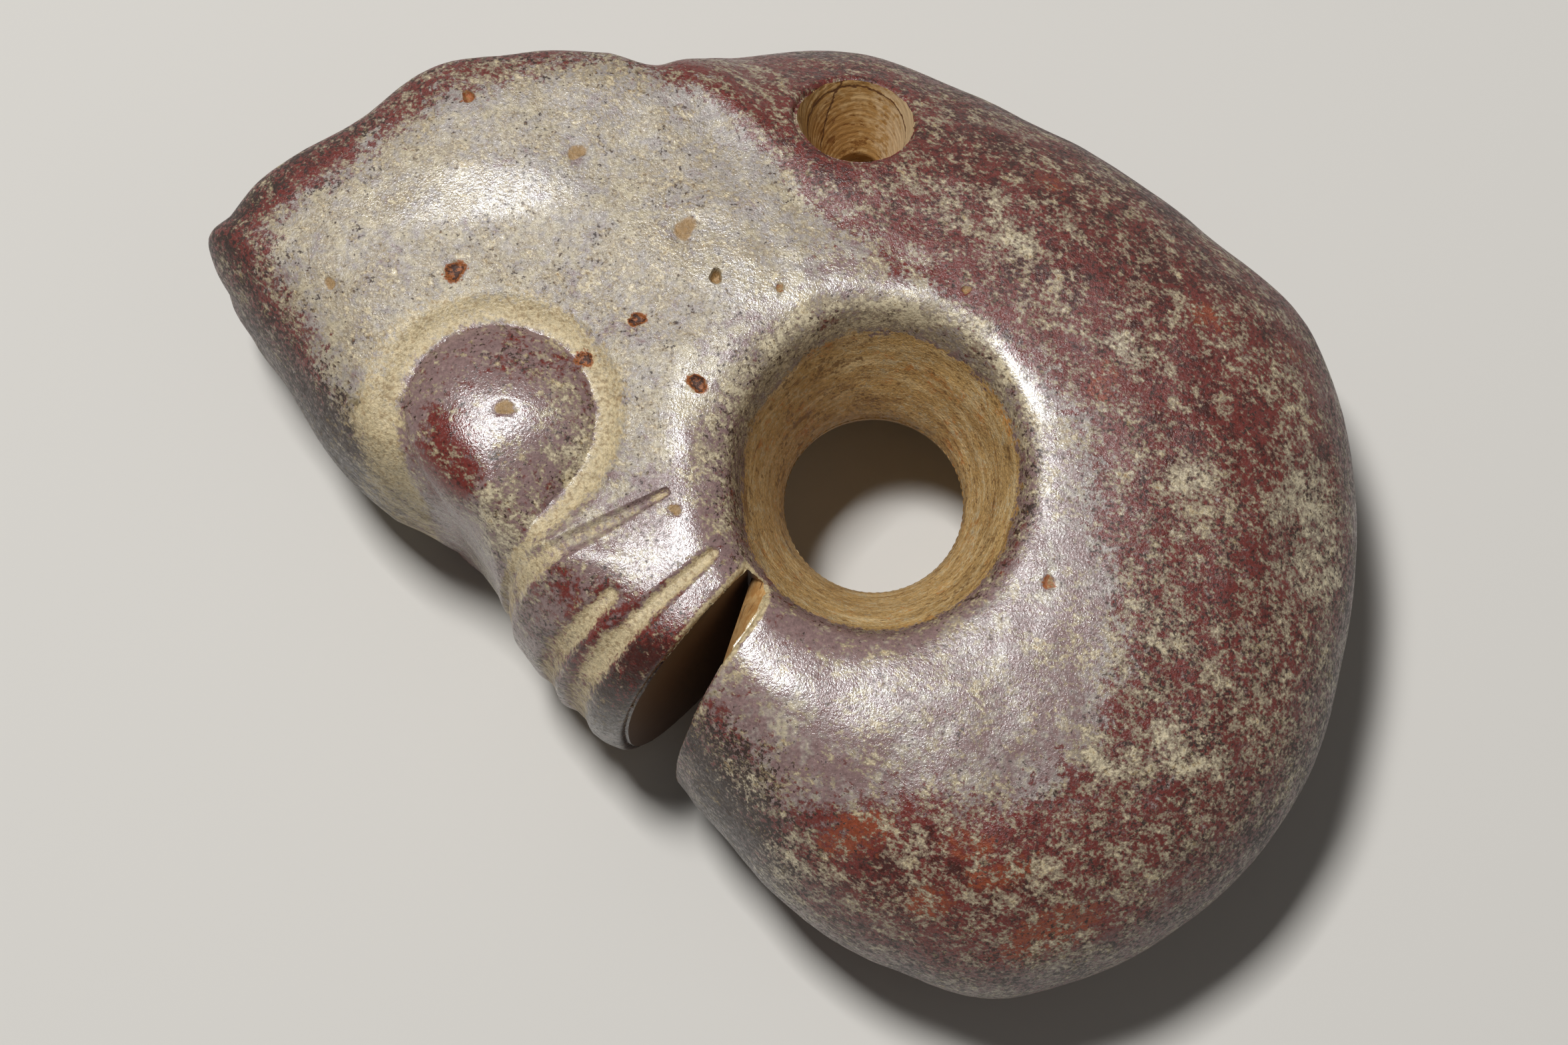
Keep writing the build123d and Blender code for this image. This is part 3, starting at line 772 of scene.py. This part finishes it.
def polished_nephrite():
    """Skin of the stone: glossy and sugary where it is polished, matt in the cuts and the crust."""
    material, tree = new_material("polished_mottled_nephrite")
    place = in_mm(tree)
    drawn = add(tree, MAPPING, {"Vector": place, "Rotation": (0, 0, math.radians(GRAIN_RUN)),
                "Scale": (GRAIN_DRAWN, 1, 1)}, vector_type="TEXTURE")
    patches = mottle(tree, place, [(6.5, 1.2, 3.0), (1.7, 1.5, 17.0), (0.42, 2.0, 31.0)])
    grains = mottle(tree, drawn, [(4.0, 1.4, 47.0), (1.0, 1.9, 59.0), (0.26, 2.1, 71.0)])
    specks = mottle(tree, place, [(2.4, 1.1, 83.0), (0.32, 2.6, 97.0)])
    clouds = mottle(tree, place, [(4.5, 1.5, 29.0), (0.8, 1.5, 37.0)])
    marks = turning_marks(tree, place, (0, 0), 1.7)

    red = raised(tree, "red", (patches, 1.0))
    cream = raised(tree, "cream", (grains, 1.0))
    rust = raised(tree, "rust", (specks, 0.8))
    matt = raised(tree, "matt")
    stained = coats(tree, "#6D2F29", [("#43211C", red, 0.85, 1.25), ("#7C6353", cream, 0.22, 0.50)])
    ground = coats(tree, "#C6B48E", [("#A18B68", specks, -0.05, 0.45)])
    bored = coats(tree, "#BF9C63", [
        ("#D8BE8D", marks, 0.48, 0.66),
        ("#BE8447", clouds, 0.1, 0.45),
        ("#8A6A40", grains, 0.12, 0.5),
        ("#CBB891", grains, -0.12, -0.5),
        ("#8A6539", marks, 0.42, 0.32),
    ])
    colour = coats(tree, "#9A918A", [
        ("#B3A68B", raised(tree, "warm", (clouds, 1.0)), 0.25, 0.75),
        ("#826A67", raised(tree, "mauve", (clouds, -1.0)), 0.3, 0.75),
        ("#766648", raised(tree, "crust", (clouds, 0.8)), 0.4, 0.7),
        ("#6F4B47", red, 0.2, 0.45),
        (stained, red, 0.4, 0.65),
        ("#854129", raised(tree, "brick", (patches, 0.8)), 0.4, 0.75),
        ("#948570", cream, 0.37, 0.66),
        ("#C8BB9E", cream, 0.64, 1.02),
        # the dark coat holds the stone's dark specks, and near the outline painted shade as well
        ("#33211A", raised(tree, "dark", (specks, 1.0)), 0.45, 0.7),
        (ground, raised(tree, "cut", (specks, 0.6), (grains, 0.8)), 0.15, 0.85),
        (bored, raised(tree, "drilled", (grains, 0.6), (clouds, 0.5)), 0.4, 0.65),
        ("#98794F", raised(tree, "pit"), 0.3, 0.8),
        ("#97582E", rust, 0.45, 0.8),
        ("#45281A", rust, 0.9, 1.15),
    ])
    felt = add(tree, NOISE, {"Vector": place, "Scale": 1 / FELT_SIZE, "Detail": 2.0, "Roughness": 0.7})
    felt = add(tree, MAP_RANGE, {"Value": felt, "From Min": 0.3, "From Max": 0.7,
               "To Min": 0.75, "To Max": 1.25})
    colour = add(tree, VECTOR_MATH, {0: colour, 1: felt}, operation="MULTIPLY")

    uneven = raised(tree, matt, (specks, 0.9))
    roughness = add(tree, MAP_RANGE, {"Value": uneven, "To Min": POLISHED, "To Max": WEATHERED})
    bumps = mottle(tree, place, [(1.3, 0.6, 19.0), (0.42, 0.8, 23.0), (0.16, 1.0, 43.0)], 0.5)
    swell = add(tree, NOISE, {"Vector": place, "Scale": 1 / SWELL_SIZE, "Detail": 1.0})
    depth = add(tree, MAP_RANGE, {"Value": matt, "To Min": POLISHED_BUMP * MM,
                "To Max": WEATHERED_BUMP * MM})
    finish_stone(tree, colour, roughness, raised(tree, bumps, (swell, SWELL_SHARE)), depth)
    return material


# %% Sawn wall
SCRATCH_DRAWN = (0.25, 0.25, 3.0)           # changes for each mm: long level scratches
SCRATCH_BUMP = 0.08        # mm
PAINTED_SHADE_WIDTH = 0.9          # mm across the slit over which its wall darkens, painted shade on the snout's side


def sawn_nephrite():
    """Wall of the slit: matt ochre with fine scratches, and painted shade on the snout's side."""
    material, tree = new_material("string_sawn_nephrite")
    place = in_mm(tree)
    flattened = add(tree, MAPPING, {"Vector": place, "Scale": SCRATCH_DRAWN})
    scratches = add(tree, NOISE, {"Vector": flattened, "Scale": 1.2, "Detail": 4.0, "Roughness": 0.7})
    level = mottle(tree, place, [(2.5, 1.4, 3.0), (0.5, 1.2, 9.0)], 0.5)
    across = add(tree, VECTOR_MATH, {0: place, 1: (*direction(SLIT_ANGLE + 90), 0)}, "Value",
                 operation="DOT_PRODUCT")
    colour = coats(tree, "#BC884D", [
        ("#D2A86E", level, 0.3, 0.75),
        ("#5F3F28", scratches, 0.42, 0.32),
        # painted shade: the snout's wall, out of the lamp's reach, is drawn dark umber
        ("#4A3322", across, -SLIT_OFFSET, -SLIT_OFFSET - PAINTED_SHADE_WIDTH),
    ])
    finish_stone(tree, colour, 0.55, scratches, SCRATCH_BUMP * MM)
    return material


# %% Wall of the cord hole
MARK_BUMP = 0.12           # mm
# Stained cracks in the wall: a plane's direction, its distance from the cord hole's middle
# and the lowest height of the crack, in mm.
CORD_CRACKS = [
    ((0.75, 0.25, -0.55), -4.0, 3.0),
    ((0.10, 0.05, 1.0), 7.4, 3.0),
]


def drilled_nephrite():
    """Wall of the cord hole: matt ochre with turning marks, stained cracks, a chalky lip and a painted
    highlight on the side that faces the lamp.
    """
    material, tree = new_material("drilled_nephrite")
    place = in_mm(tree)
    marks = turning_marks(tree, place, (CORD_X, CORD_Y), 1.9)
    level = mottle(tree, place, [(3.0, 1.4, 7.0), (0.6, 1.4, 21.0)])
    from_axis = add(tree, VECTOR_MATH, {0: place, 1: (CORD_X, CORD_Y, 0)}, operation="SUBTRACT")
    parts = add(tree, "ShaderNodeSeparateXYZ", {0: from_axis}).node.outputs
    height = add(tree, MATH, {0: parts["Z"]}, operation="ABSOLUTE")

    colour = coats(tree, "#B08850", [
        ("#CCAC79", level, -0.1, 0.25),
        ("#855A2B", marks, 0.45, 0.36),
        # painted highlight: this pale coat grows towards +X, on the wall that faces the lamp
        ("#D0B58C", raised(tree, level, (parts["X"], 0.3)), 0.35, 0.75),
    ])
    for normal, offset, low in CORD_CRACKS:
        away = add(tree, VECTOR_MATH, {0: from_axis, 1: normal}, "Value", operation="DOT_PRODUCT")
        away = add(tree, MATH, {0: raised(tree, away, (level, 0.35)), 1: offset}, operation="SUBTRACT")
        away = add(tree, MATH, {0: away}, operation="ABSOLUTE")
        above = add(tree, MAP_RANGE, {"Value": height, "From Min": low, "From Max": low + 1.0})
        cracked = coats(tree, "#5F3B20", [(colour, away, 0.03, 0.13)])
        colour = add(tree, "ShaderNodeMix", {FACTOR: above, UNDER: colour, OVER: cracked}, MIXED,
                     data_type="RGBA")
    colour = coats(tree, colour, [("#D2C3A6", raised(tree, level, (height, 0.3)), 3.2, 3.6)])
    finish_stone(tree, colour, 0.6, marks, MARK_BUMP * MM, 0.7)
    return material


skin, sawn, drilled = polished_nephrite(), sawn_nephrite(), drilled_nephrite()
print("finishes", [m.name for m in (skin, sawn, drilled)])

# %% Build and cut the stone
places, faces = both_halves(points, triangles)
stone = mesh_object("carved_pendant", places, faces, skin)
cut_with(stone, slit_tool(sawn))
cut_with(stone, drill_tool(drilled))
print("after sawing and drilling", len(stone.data.polygons), "faces")

# %% [markdown]
# ## Where the stone changes colour
#
# The colours follow the old pebble and the carving: the head and the ring are pale, the neck and the back
# are oxblood with cream grains, and the cuts are tan. So the levels have one table for the pale middle, one
# for the stone outside it, and a few listed patches. They are stored on the points as attributes, for the
# finish above to break up.

# %% Levels by direction
# Direction from the hole axis, and reach of the pale, polished middle there.
PALE_REACH = [
    (10, 13.0), (34, 11.8), (56, 11.3), (76, 12.6), (95, 15.2), (107, 19.6), (112, 25.0),
    (118, 28.4), (128, 33.5), (136, 35.6), (144, 37.7), (152, 40.2), (158, 42.0), (163, 39.5),
    (168, 36.5), (174, 34.3), (182, 30.5), (190, 25.5), (197, 21.5), (205, 18.5), (215, 15.5),
    (228, 14.5), (235, 18.0), (246, 19.4), (262, 21.6), (278, 21.3), (297, 22.7), (311, 21.0),
    (330, 17.2), (349, 13.4),
]
PALE_FADE = 6.0            # mm over which the pale middle ends
# Each row: direction, then one value for each name.
LEVELS = ("red", "cream", "dark", "warm", "mauve", "crust", "matt")
PALE_LEVELS = [
    (0, -0.1, 0.27, 0.16, 0.25, 0.66, 0.0, 0.16),
    (25, 0.25, 0.28, 0.2, 0.25, 0.65, 0.0, 0.1),
    (50, 0.5, 0.22, 0.25, 0.25, 0.7, 0.0, 0.1),
    (75, 0.0, 0.32, 0.18, 0.3, 0.5, 0.0, 0.15),
    (100, -0.2, 0.42, 0.14, 0.35, 0.35, 0.0, 0.22),
    (125, -0.4, 0.46, 0.18, 0.4, 0.2, 0.0, 0.42),
    (160, -0.4, 0.46, 0.2, 0.5, 0.22, 0.0, 0.45),
    (185, -0.3, 0.38, 0.2, 0.45, 0.45, 0.0, 0.46),
    (205, -0.05, 0.28, 0.2, 0.3, 0.8, 0.0, 0.08),
    (230, 0.05, 0.22, 0.18, 0.25, 0.75, 0.0, 0.08),
    (260, -0.2, 0.3, 0.15, 0.3, 0.6, 0.0, 0.1),
    (290, -0.2, 0.31, 0.18, 0.3, 0.56, 0.0, 0.2),
    (320, -0.15, 0.3, 0.16, 0.28, 0.58, 0.0, 0.18),
]
OUTER_LEVELS = [
    (0, 0.85, 0.31, 0.3, 0.3, 0.2, 0.3, 0.55),
    (30, 0.95, 0.27, 0.28, 0.3, 0.2, 0.2, 0.68),
    (60, 1.0, 0.24, 0.3, 0.3, 0.2, 0.15, 0.68),
    (90, 0.92, 0.22, 0.28, 0.4, 0.2, 0.15, 0.55),
    (110, 0.82, 0.25, 0.26, 0.3, 0.2, 0.1, 0.45),
    (135, 0.72, 0.36, 0.24, 0.3, 0.2, 0.1, 0.55),
    (160, 0.85, 0.24, 0.46, 0.3, 0.2, 0.1, 0.55),
    (175, 0.6, 0.3, 0.44, 0.5, 0.4, 0.3, 0.55),
    (190, 0.3, 0.38, 0.34, 0.6, 0.6, 0.1, 0.35),
    (205, 0.4, 0.22, 0.28, 0.3, 0.85, 0.0, 0.2),
    (222, 0.6, 0.14, 0.32, 0.2, 0.85, 0.0, 0.2),
    (236, 0.45, 0.22, 0.4, 0.3, 0.55, 0.6, 0.45),
    (255, 0.6, 0.29, 0.36, 0.3, 0.5, 0.55, 0.45),
    (275, 0.65, 0.33, 0.24, 0.3, 0.5, 0.45, 0.45),
    (300, 0.72, 0.37, 0.3, 0.3, 0.35, 0.45, 0.5),
    (325, 0.8, 0.37, 0.38, 0.3, 0.2, 0.45, 0.6),
    (345, 0.82, 0.35, 0.34, 0.3, 0.2, 0.4, 0.55),
]
# Direction, and height up to which the big hole's wall is clean tan stone.
TAN_HEIGHT = [
    (0, 11.6), (35, 11.2), (60, 10.8), (90, 10.6), (120, 10.4), (150, 10.0), (180, 10.0),
    (225, 11.2), (270, 11.4), (315, 11.6),
]
# Direction from the eye's middle, and width of the cream band round the eye there.
EYE_BAND = [
    (0, 1.8), (60, 1.9), (100, 2.3), (150, 2.6), (180, 3.2), (225, 3.4), (262, 1.4), (300, 1.5),
]
print("rows", len(PALE_REACH), len(PALE_LEVELS), len(OUTER_LEVELS))

# %% Patches
# Middle x, y, half length, half width in mm, direction of the length, and strength.
PATCHES = {
    "brick": [
        (-1.4, -23.6, 2.8, 1.4, 10, 0.7), (10.9, -29.3, 4.5, 1.5, 25, 0.65),
        (5.8, -24.3, 2.2, 1.1, 0, 0.65), (7.9, -25.9, 2.6, 1.1, 20, 0.65),
        (3.4, -27.7, 1.8, 1.0, 0, 0.6), (11.3, 19.2, 1.4, 0.9, -30, 0.6),
        (21.5, 9.8, 2.0, 1.2, -30, 0.6), (14.3, 5.0, 1.2, 2.0, 0, 0.6), (27.1, 8.3, 1.2, 0.8, 0, 0.6),
    ],
    "red": [
        (-26.9, 0.5, 2.0, 3.0, 10, 0.75), (-20.0, -11.7, 2.6, 1.2, 30, 0.6),
        (-15.3, -12.9, 2.6, 1.4, 20, 0.7), (7.4, 7.6, 2.2, 1.2, -40, 0.7),
        (4.0, -26.0, 9.0, 4.0, 0, 0.32),
    ],
    "cream": [
        (9.1, 14.2, 1.1, 0.8, -10, 0.45), (7.0, 16.8, 6.0, 1.6, -10, 0.22),
        (15.8, 7.2, 2.2, 0.8, -30, 0.35), (19.9, -1.1, 1.4, 1.1, 0, 0.32),
        (16.2, -14.8, 2.6, 1.6, -40, 0.15), (19.7, -18.3, 3.0, 2.0, -40, 0.22),
        (13.6, -18.7, 2.4, 1.4, -40, 0.25), (17.7, -10.8, 2.2, 1.4, -40, 0.2),
        (-9.4, -20.1, 2.4, 1.2, -30, 0.3), (-6.0, -24.8, 3.0, 1.4, -30, 0.25),
        (-23.4, -3.9, 2.8, 2.4, -40, 0.5), (-19.8, 1.6, 1.6, 3.2, 0, 0.42),
        (29.4, -6.2, 0.9, 0.8, 0, 0.5), (27.6, -3.5, 2.6, 4.4, 0, 0.35),
    ],
    "cut": [
        (-31.8, 1.6, 3.2, 2.0, -55, 0.25), (-29.0, -3.4, 3.4, 1.2, -55, 0.6),
        (-19.0, -9.6, 1.6, 0.8, 40, 0.4),
    ],
    "polish": [
        (-26.5, 17.8, 7.5, 2.0, 3, 0.36), (-9.0, 13.0, 7.0, 2.2, -28, 0.34),
        (-12.2, 2.5, 4.0, 1.0, 90, 0.25), (8.9, 5.3, 3.4, 0.9, 121, 0.4),
        (10.3, -0.8, 3.2, 1.0, 86, 0.18), (-6.6, -13.4, 3.5, 1.8, -25, 0.2),
    ],
    "worn": [
        (-17.0, -4.0, 4.2, 1.6, 28, 0.6),
    ],
    "dark": [
        # These dark patches lie on edges and undersides that turn away from the lamp: painted shade.
        (-34.8, 1.8, 5.0, 2.4, -58, 0.3), (-17.6, -15.4, 3.0, 2.2, 40, 0.4),
        (-9.2, -20.3, 5.0, 2.0, -60, 0.3), (5.0, -31.5, 9.0, 2.0, 0, 0.1),
    ],
    "crust": [
        (-32.8, 2.6, 4.0, 1.6, -55, 0.45), (27.6, -2.7, 2.8, 4.6, 0, 0.9),
        (2.0, -31.0, 12.0, 3.0, 0, 0.35),
    ],
}


def blot(x, y, rows):
    """The strongest of some oval patches at every point."""
    level = np.zeros_like(x)
    for middle_x, middle_y, length, width, turn, strength in rows:
        along, across = turned(x, y, (middle_x, middle_y), turn)
        level = np.maximum(level, strength * smooth_step(1.5 - np.hypot(along / length, across / width)))
    return level


print("patches", {name: len(rows) for name, rows in PATCHES.items()})

# %% Zones
RIM_WIDTH = 3.5            # mm inside the outline where the crust grows and painted shade darkens the edge
LIP_REACH = 11.6           # hole axis to the big hole's lip
LIP_FADE = 1.5
TAN_FADE = 2.4             # height over which the clean tan wall ends
PALE_LOW = 3               # height below which the pale middle ends, but for the hole's edge
HOLE_EDGE = 14             # reach of that edge
CHIP_WIDTH = 0.4           # pale chips along the slit's edge
CHIP_REACH = 20            # how far out they go
BOSS = {"mauve": 0.85, "red": 0.14, "cream": 0.22, "dark": 0.26, "warm": 0.3, "matt": 0.06}
# The lip of the big hole: level on the tail's side, and how much it changes on the nape's.
LIP = {
    "mauve": (0.95, -0.55),
    "red": (0.20, -0.15),
    "cream": (0.44, 0.36),
    "dark": (0.42, -0.18),
    "crust": (0.15, 0.20),
    "matt": (0.45, 0.0),
}


def zones(x, y, z):
    """Level of each colour and finish at every point."""
    turn = np.degrees(np.arctan2(y, x)) % 360
    reach = np.hypot(x, y)
    height = np.abs(z)
    patch = {name: blot(x, y, rows) for name, rows in PATCHES.items()}
    silhouette = around(SECTIONS, 1, turn) * BACK_REACH * np.maximum(1, around(SECTIONS, 5, turn))
    rim = smooth_step(1 - (silhouette - reach) / RIM_WIDTH)
    pale = smooth_step(0.5 - (reach - around(PALE_REACH, 1, turn)) / PALE_FADE)
    near_or_high = np.maximum(smooth_step((height - PALE_LOW) / 4), smooth_step((HOLE_EDGE - reach) / 2))
    pale = pale * near_or_high
    level = {}
    for column, name in enumerate(LEVELS, 1):
        outer = around(OUTER_LEVELS, column, turn)
        level[name] = outer + pale * (around(PALE_LEVELS, column, turn) - outer)

    def turn_to(part, name, value):
        level[name] = level[name] + part * (value - level[name])

    left_of_hole = smooth_step(0.5 - x / 20) * smooth_step((15.5 - reach) / 4)
    # Near the outline the dark coat grows: partly the crust's own dark specks, partly painted shade on
    # edges that turn away from the lamp.
    for name, more, part in (("mauve", 0.30, left_of_hole), ("matt", -0.25, left_of_hole),
                             ("dark", 0.20, rim), ("crust", 0.25, rim)):
        level[name] = level[name] + more * part

    from_eye, eye_rim = drop_rim(x, y)
    on_eye = smooth_step((1.10 - from_eye / eye_rim) / 0.12)
    for name, value in BOSS.items():
        turn_to(on_eye, name, value)
    around_eye = np.degrees(np.arctan2(y - EYE_Y, x - EYE_X)) % 360
    band = smooth_step(1.5 - (from_eye - eye_rim) / around(EYE_BAND, 1, around_eye)) * (1 - on_eye)
    groove = np.maximum(np.maximum(band, wrinkle(x, y)), patch["cut"])

    in_hole = smooth_step((LIP_REACH - reach) / LIP_FADE)
    tan = in_hole * smooth_step((around(TAN_HEIGHT, 1, turn) - height) / TAN_FADE + 0.5)
    upper = smooth_step(0.5 + (y - 3) / 8)
    for name, (value, change) in LIP.items():
        turn_to(in_hole * (1 - tan), name, value + change * upper)

    for name in ("red", "cream", "dark", "crust"):
        level[name] = level[name] + patch[name]
    level["brick"] = patch["brick"]
    level["drilled"] = tan
    _, level["rust"], level["pit"] = pits(x, y)
    chipped = smooth_step(1.4 - slit_distance(x, y, z) / CHIP_WIDTH) * smooth_step((CHIP_REACH - reach) / 6)
    level["cut"] = np.maximum(groove * (1 - 0.4 * rim) - patch["worn"], chipped)
    level["matt"] = level["matt"] - patch["polish"]
    for dull in (0.8 * groove, 0.9 * tan, 0.8 * level["pit"]):
        level["matt"] = np.maximum(level["matt"], dull)
    return level


# %% Store the zones on the points
def store_zones(mesh):
    count = len(mesh.vertices)
    places = np.empty(count * 3)
    mesh.vertices.foreach_get("co", places)
    places = (places.reshape(-1, 3) - (HOLE_X, HOLE_Y, MIDDLE_Z)) / MM
    for name, level in zones(*places.T).items():
        attribute = mesh.attributes.new(name, "FLOAT", "POINT")
        attribute.data.foreach_set("value", level.astype(np.float32))


store_zones(stone.data)
print("zones stored on", len(stone.data.vertices), "points")

# %% [markdown]
# ## Weathered skin
#
# Polish never quite removed the stone's grain, and the rim kept a crust. Displacing every
# point by hand would be slow, so a Geometry Nodes tree does it: noises of two sizes push
# the surface inwards along its normal, the finer one more where the crust is. They only ever
# cut inwards, so the stone stays within its real size.

# %% Geometry Nodes tree for the skin
GRAIN_SIZE = 1.2           # mm
GRAIN_DEPTH = 0.14
POLISHED_SHARE = 0.15      # how much of that depth is left where there is no crust
WAVE_SIZE = 6.0
WAVE_DEPTH = 0.10
CRISP_ANGLE = 40           # edges sharper than this many degrees stay crisp


def weathered_skin():
    tree = bpy.data.node_groups.new("weathered_skin", "GeometryNodeTree")
    tree.interface.new_socket("Stone", in_out="INPUT", socket_type="NodeSocketGeometry")
    for name in ("Grain size", "Grain depth", "Wave size", "Wave depth", "Seed"):
        tree.interface.new_socket(name, in_out="INPUT", socket_type="NodeSocketFloat")
    tree.interface.new_socket("Stone", in_out="OUTPUT", socket_type="NodeSocketGeometry")
    given = add(tree, "NodeGroupInput").node.outputs
    place = add(tree, "GeometryNodeInputPosition")
    crust = add(tree, "GeometryNodeInputNamedAttribute", {"Name": "crust"}, data_type="FLOAT")
    sunk = raised(tree, POLISHED_SHARE, (crust, 1 - POLISHED_SHARE))
    total = 0.0
    for size, depth, amount in (("Grain size", "Grain depth", sunk), ("Wave size", "Wave depth", 1.0)):
        scale = add(tree, MATH, {0: 1.0, 1: given[size]}, operation="DIVIDE")
        noise = add(tree, NOISE, {"Vector": place, "W": given["Seed"], "Scale": scale,
                    "Detail": 3.0, "Roughness": 0.6}, noise_dimensions="4D")
        deep = add(tree, MATH, {0: noise, 1: given[depth]}, operation="MULTIPLY")
        total = raised(tree, total, (deep, amount))
    inward = add(tree, MATH, {0: total, 1: -1.0}, operation="MULTIPLY")
    normal = add(tree, "GeometryNodeInputNormal")
    offset = add(tree, VECTOR_MATH, {0: normal, "Scale": inward}, operation="SCALE")
    moved = add(tree, "GeometryNodeSetPosition", {"Geometry": given["Stone"], "Offset": offset})
    smooth = add(tree, "GeometryNodeSetShadeSmooth", {0: moved})
    result = add(tree, "GeometryNodeRealizeInstances", {0: smooth})
    index = add(tree, "GeometryNodeInputMaterialIndex")
    for number, material in enumerate((skin, sawn, drilled)):
        chosen = add(tree, "FunctionNodeCompare", {2: index, 3: number}, data_type="INT", operation="EQUAL")
        result = add(tree, "GeometryNodeSetMaterial", {"Geometry": result, "Selection": chosen,
                     "Material": material})
    add(tree, "NodeGroupOutput", {0: result})
    return tree


# %% Run the tree on the stone
def apply_tree(piece, tree, values):
    """Runs a Geometry Nodes tree on a piece and keeps the result as a plain mesh."""
    modifier = piece.modifiers.new(tree.name, "NODES")
    modifier.node_group = tree
    for item in tree.interface.items_tree:
        if item.name in values:
            modifier[item.identifier] = values[item.name]
    apply_modifiers(piece)


apply_tree(stone, weathered_skin(), {
    "Grain size": GRAIN_SIZE * MM,
    "Grain depth": GRAIN_DEPTH * MM,
    "Wave size": WAVE_SIZE * MM,
    "Wave depth": WAVE_DEPTH * MM,
    "Seed": 4.0,
})
stone.data.set_sharp_from_angle(angle=math.radians(CRISP_ANGLE))
print("weathered skin on", len(stone.data.polygons), "faces", [m.name for m in stone.data.materials])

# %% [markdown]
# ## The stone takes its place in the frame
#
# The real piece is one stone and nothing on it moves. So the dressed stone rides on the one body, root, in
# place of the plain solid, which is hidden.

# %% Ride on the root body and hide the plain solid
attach(stone, "root")
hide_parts("pendant")

# %% [markdown]
# ## Floor, light and camera
#
# The stone lies on a plain pale table, as it would in a studio. A small soft lamp hangs 0.6 m
# overhead, a little to the upper left. It draws the sharp broken highlights on the ring and
# the brow and leaves the slit dark. A broad weak one fills the right side, and the pale room
# lifts what is left. The camera looks down from 0.29 m, tipped 12.5 degrees towards the tail.

# %% Floor
HALF_FLOOR = 1.5
floor_mesh = bpy.data.meshes.new("floor")
corners = [(side * HALF_FLOOR, end * HALF_FLOOR, 0) for side, end in ((-1, -1), (1, -1), (1, 1), (-1, 1))]
floor_mesh.from_pydata(corners, [], [(0, 1, 2, 3)])
paper, paper_tree = new_material("pale_matt_paper")
finish_material(paper_tree, {"Base Color": "#D2CFC9", "Roughness": 0.9})
floor_mesh.materials.append(paper)
floor = in_scene("floor", floor_mesh)
floor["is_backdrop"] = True
print("floor", 2 * HALF_FLOOR, "m wide")

# %% Lights
ROOM_LIGHT = 0.09


def softbox(name, towards, distance, size, watts):
    """A square area light that looks at the stone from a direction."""
    light = bpy.data.lights.new(name, "AREA")
    light.energy = watts
    light.size = size
    lamp = in_scene(name, light)
    aim = Vector(towards).normalized()
    lamp.location = Vector((0, 0, MIDDLE_Z)) + aim * distance
    lamp.rotation_euler = aim.to_track_quat("Z", "Y").to_euler()


softbox("key", towards=(-0.19, 0.18, 0.965), distance=0.60, size=0.10, watts=3.45)
softbox("fill", towards=(0.50, -0.20, 0.85), distance=0.90, size=0.50, watts=0.20)
world = bpy.data.worlds.new("studio")
world.use_nodes = True
room = world.node_tree.nodes["Background"].inputs
room["Color"].default_value = linear("#F1F0EE")
room["Strength"].default_value = ROOM_LIGHT
bpy.context.scene.world = world
bpy.context.scene.view_settings.view_transform = "Standard"
print("lights", [item.name for item in bpy.data.lights])

# %% Camera
PHOTO_WIDTH = 2353         # pixels
MM_PER_PIXEL = 0.04406     # at the middle plane
CAMERA_DISTANCE = 288.0    # mm
CAMERA_TIP = 12.5          # degrees off straight down
CAMERA_AIM = (-5.931, -1.174, 0.0)      # mm round the hole axis
SENSOR = 36.0
tip = math.radians(CAMERA_TIP)
lens = bpy.data.cameras.new("camera")
lens.sensor_width = SENSOR
lens.lens = SENSOR * CAMERA_DISTANCE / (PHOTO_WIDTH * MM_PER_PIXEL)
camera = in_scene("camera", lens)
upwards = Vector((0, -math.sin(tip), math.cos(tip)))
camera.location = Vector(to_frame(np.array(CAMERA_AIM))) + upwards * CAMERA_DISTANCE * MM
camera.rotation_euler = (tip, 0, 0)
bpy.context.scene.camera = camera
print("lens", round(lens.lens, 1), "mm")

# %% [markdown]
# ## Measure
#
# The dressed stone is compared with the plain solid's box, and the difference is printed.

low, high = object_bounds()
over = [round((a - b) / MM, 3) for a, b in zip([*low, *high], [*cad_low, *cad_high])]
print("visual minus CAD, mm:", over)
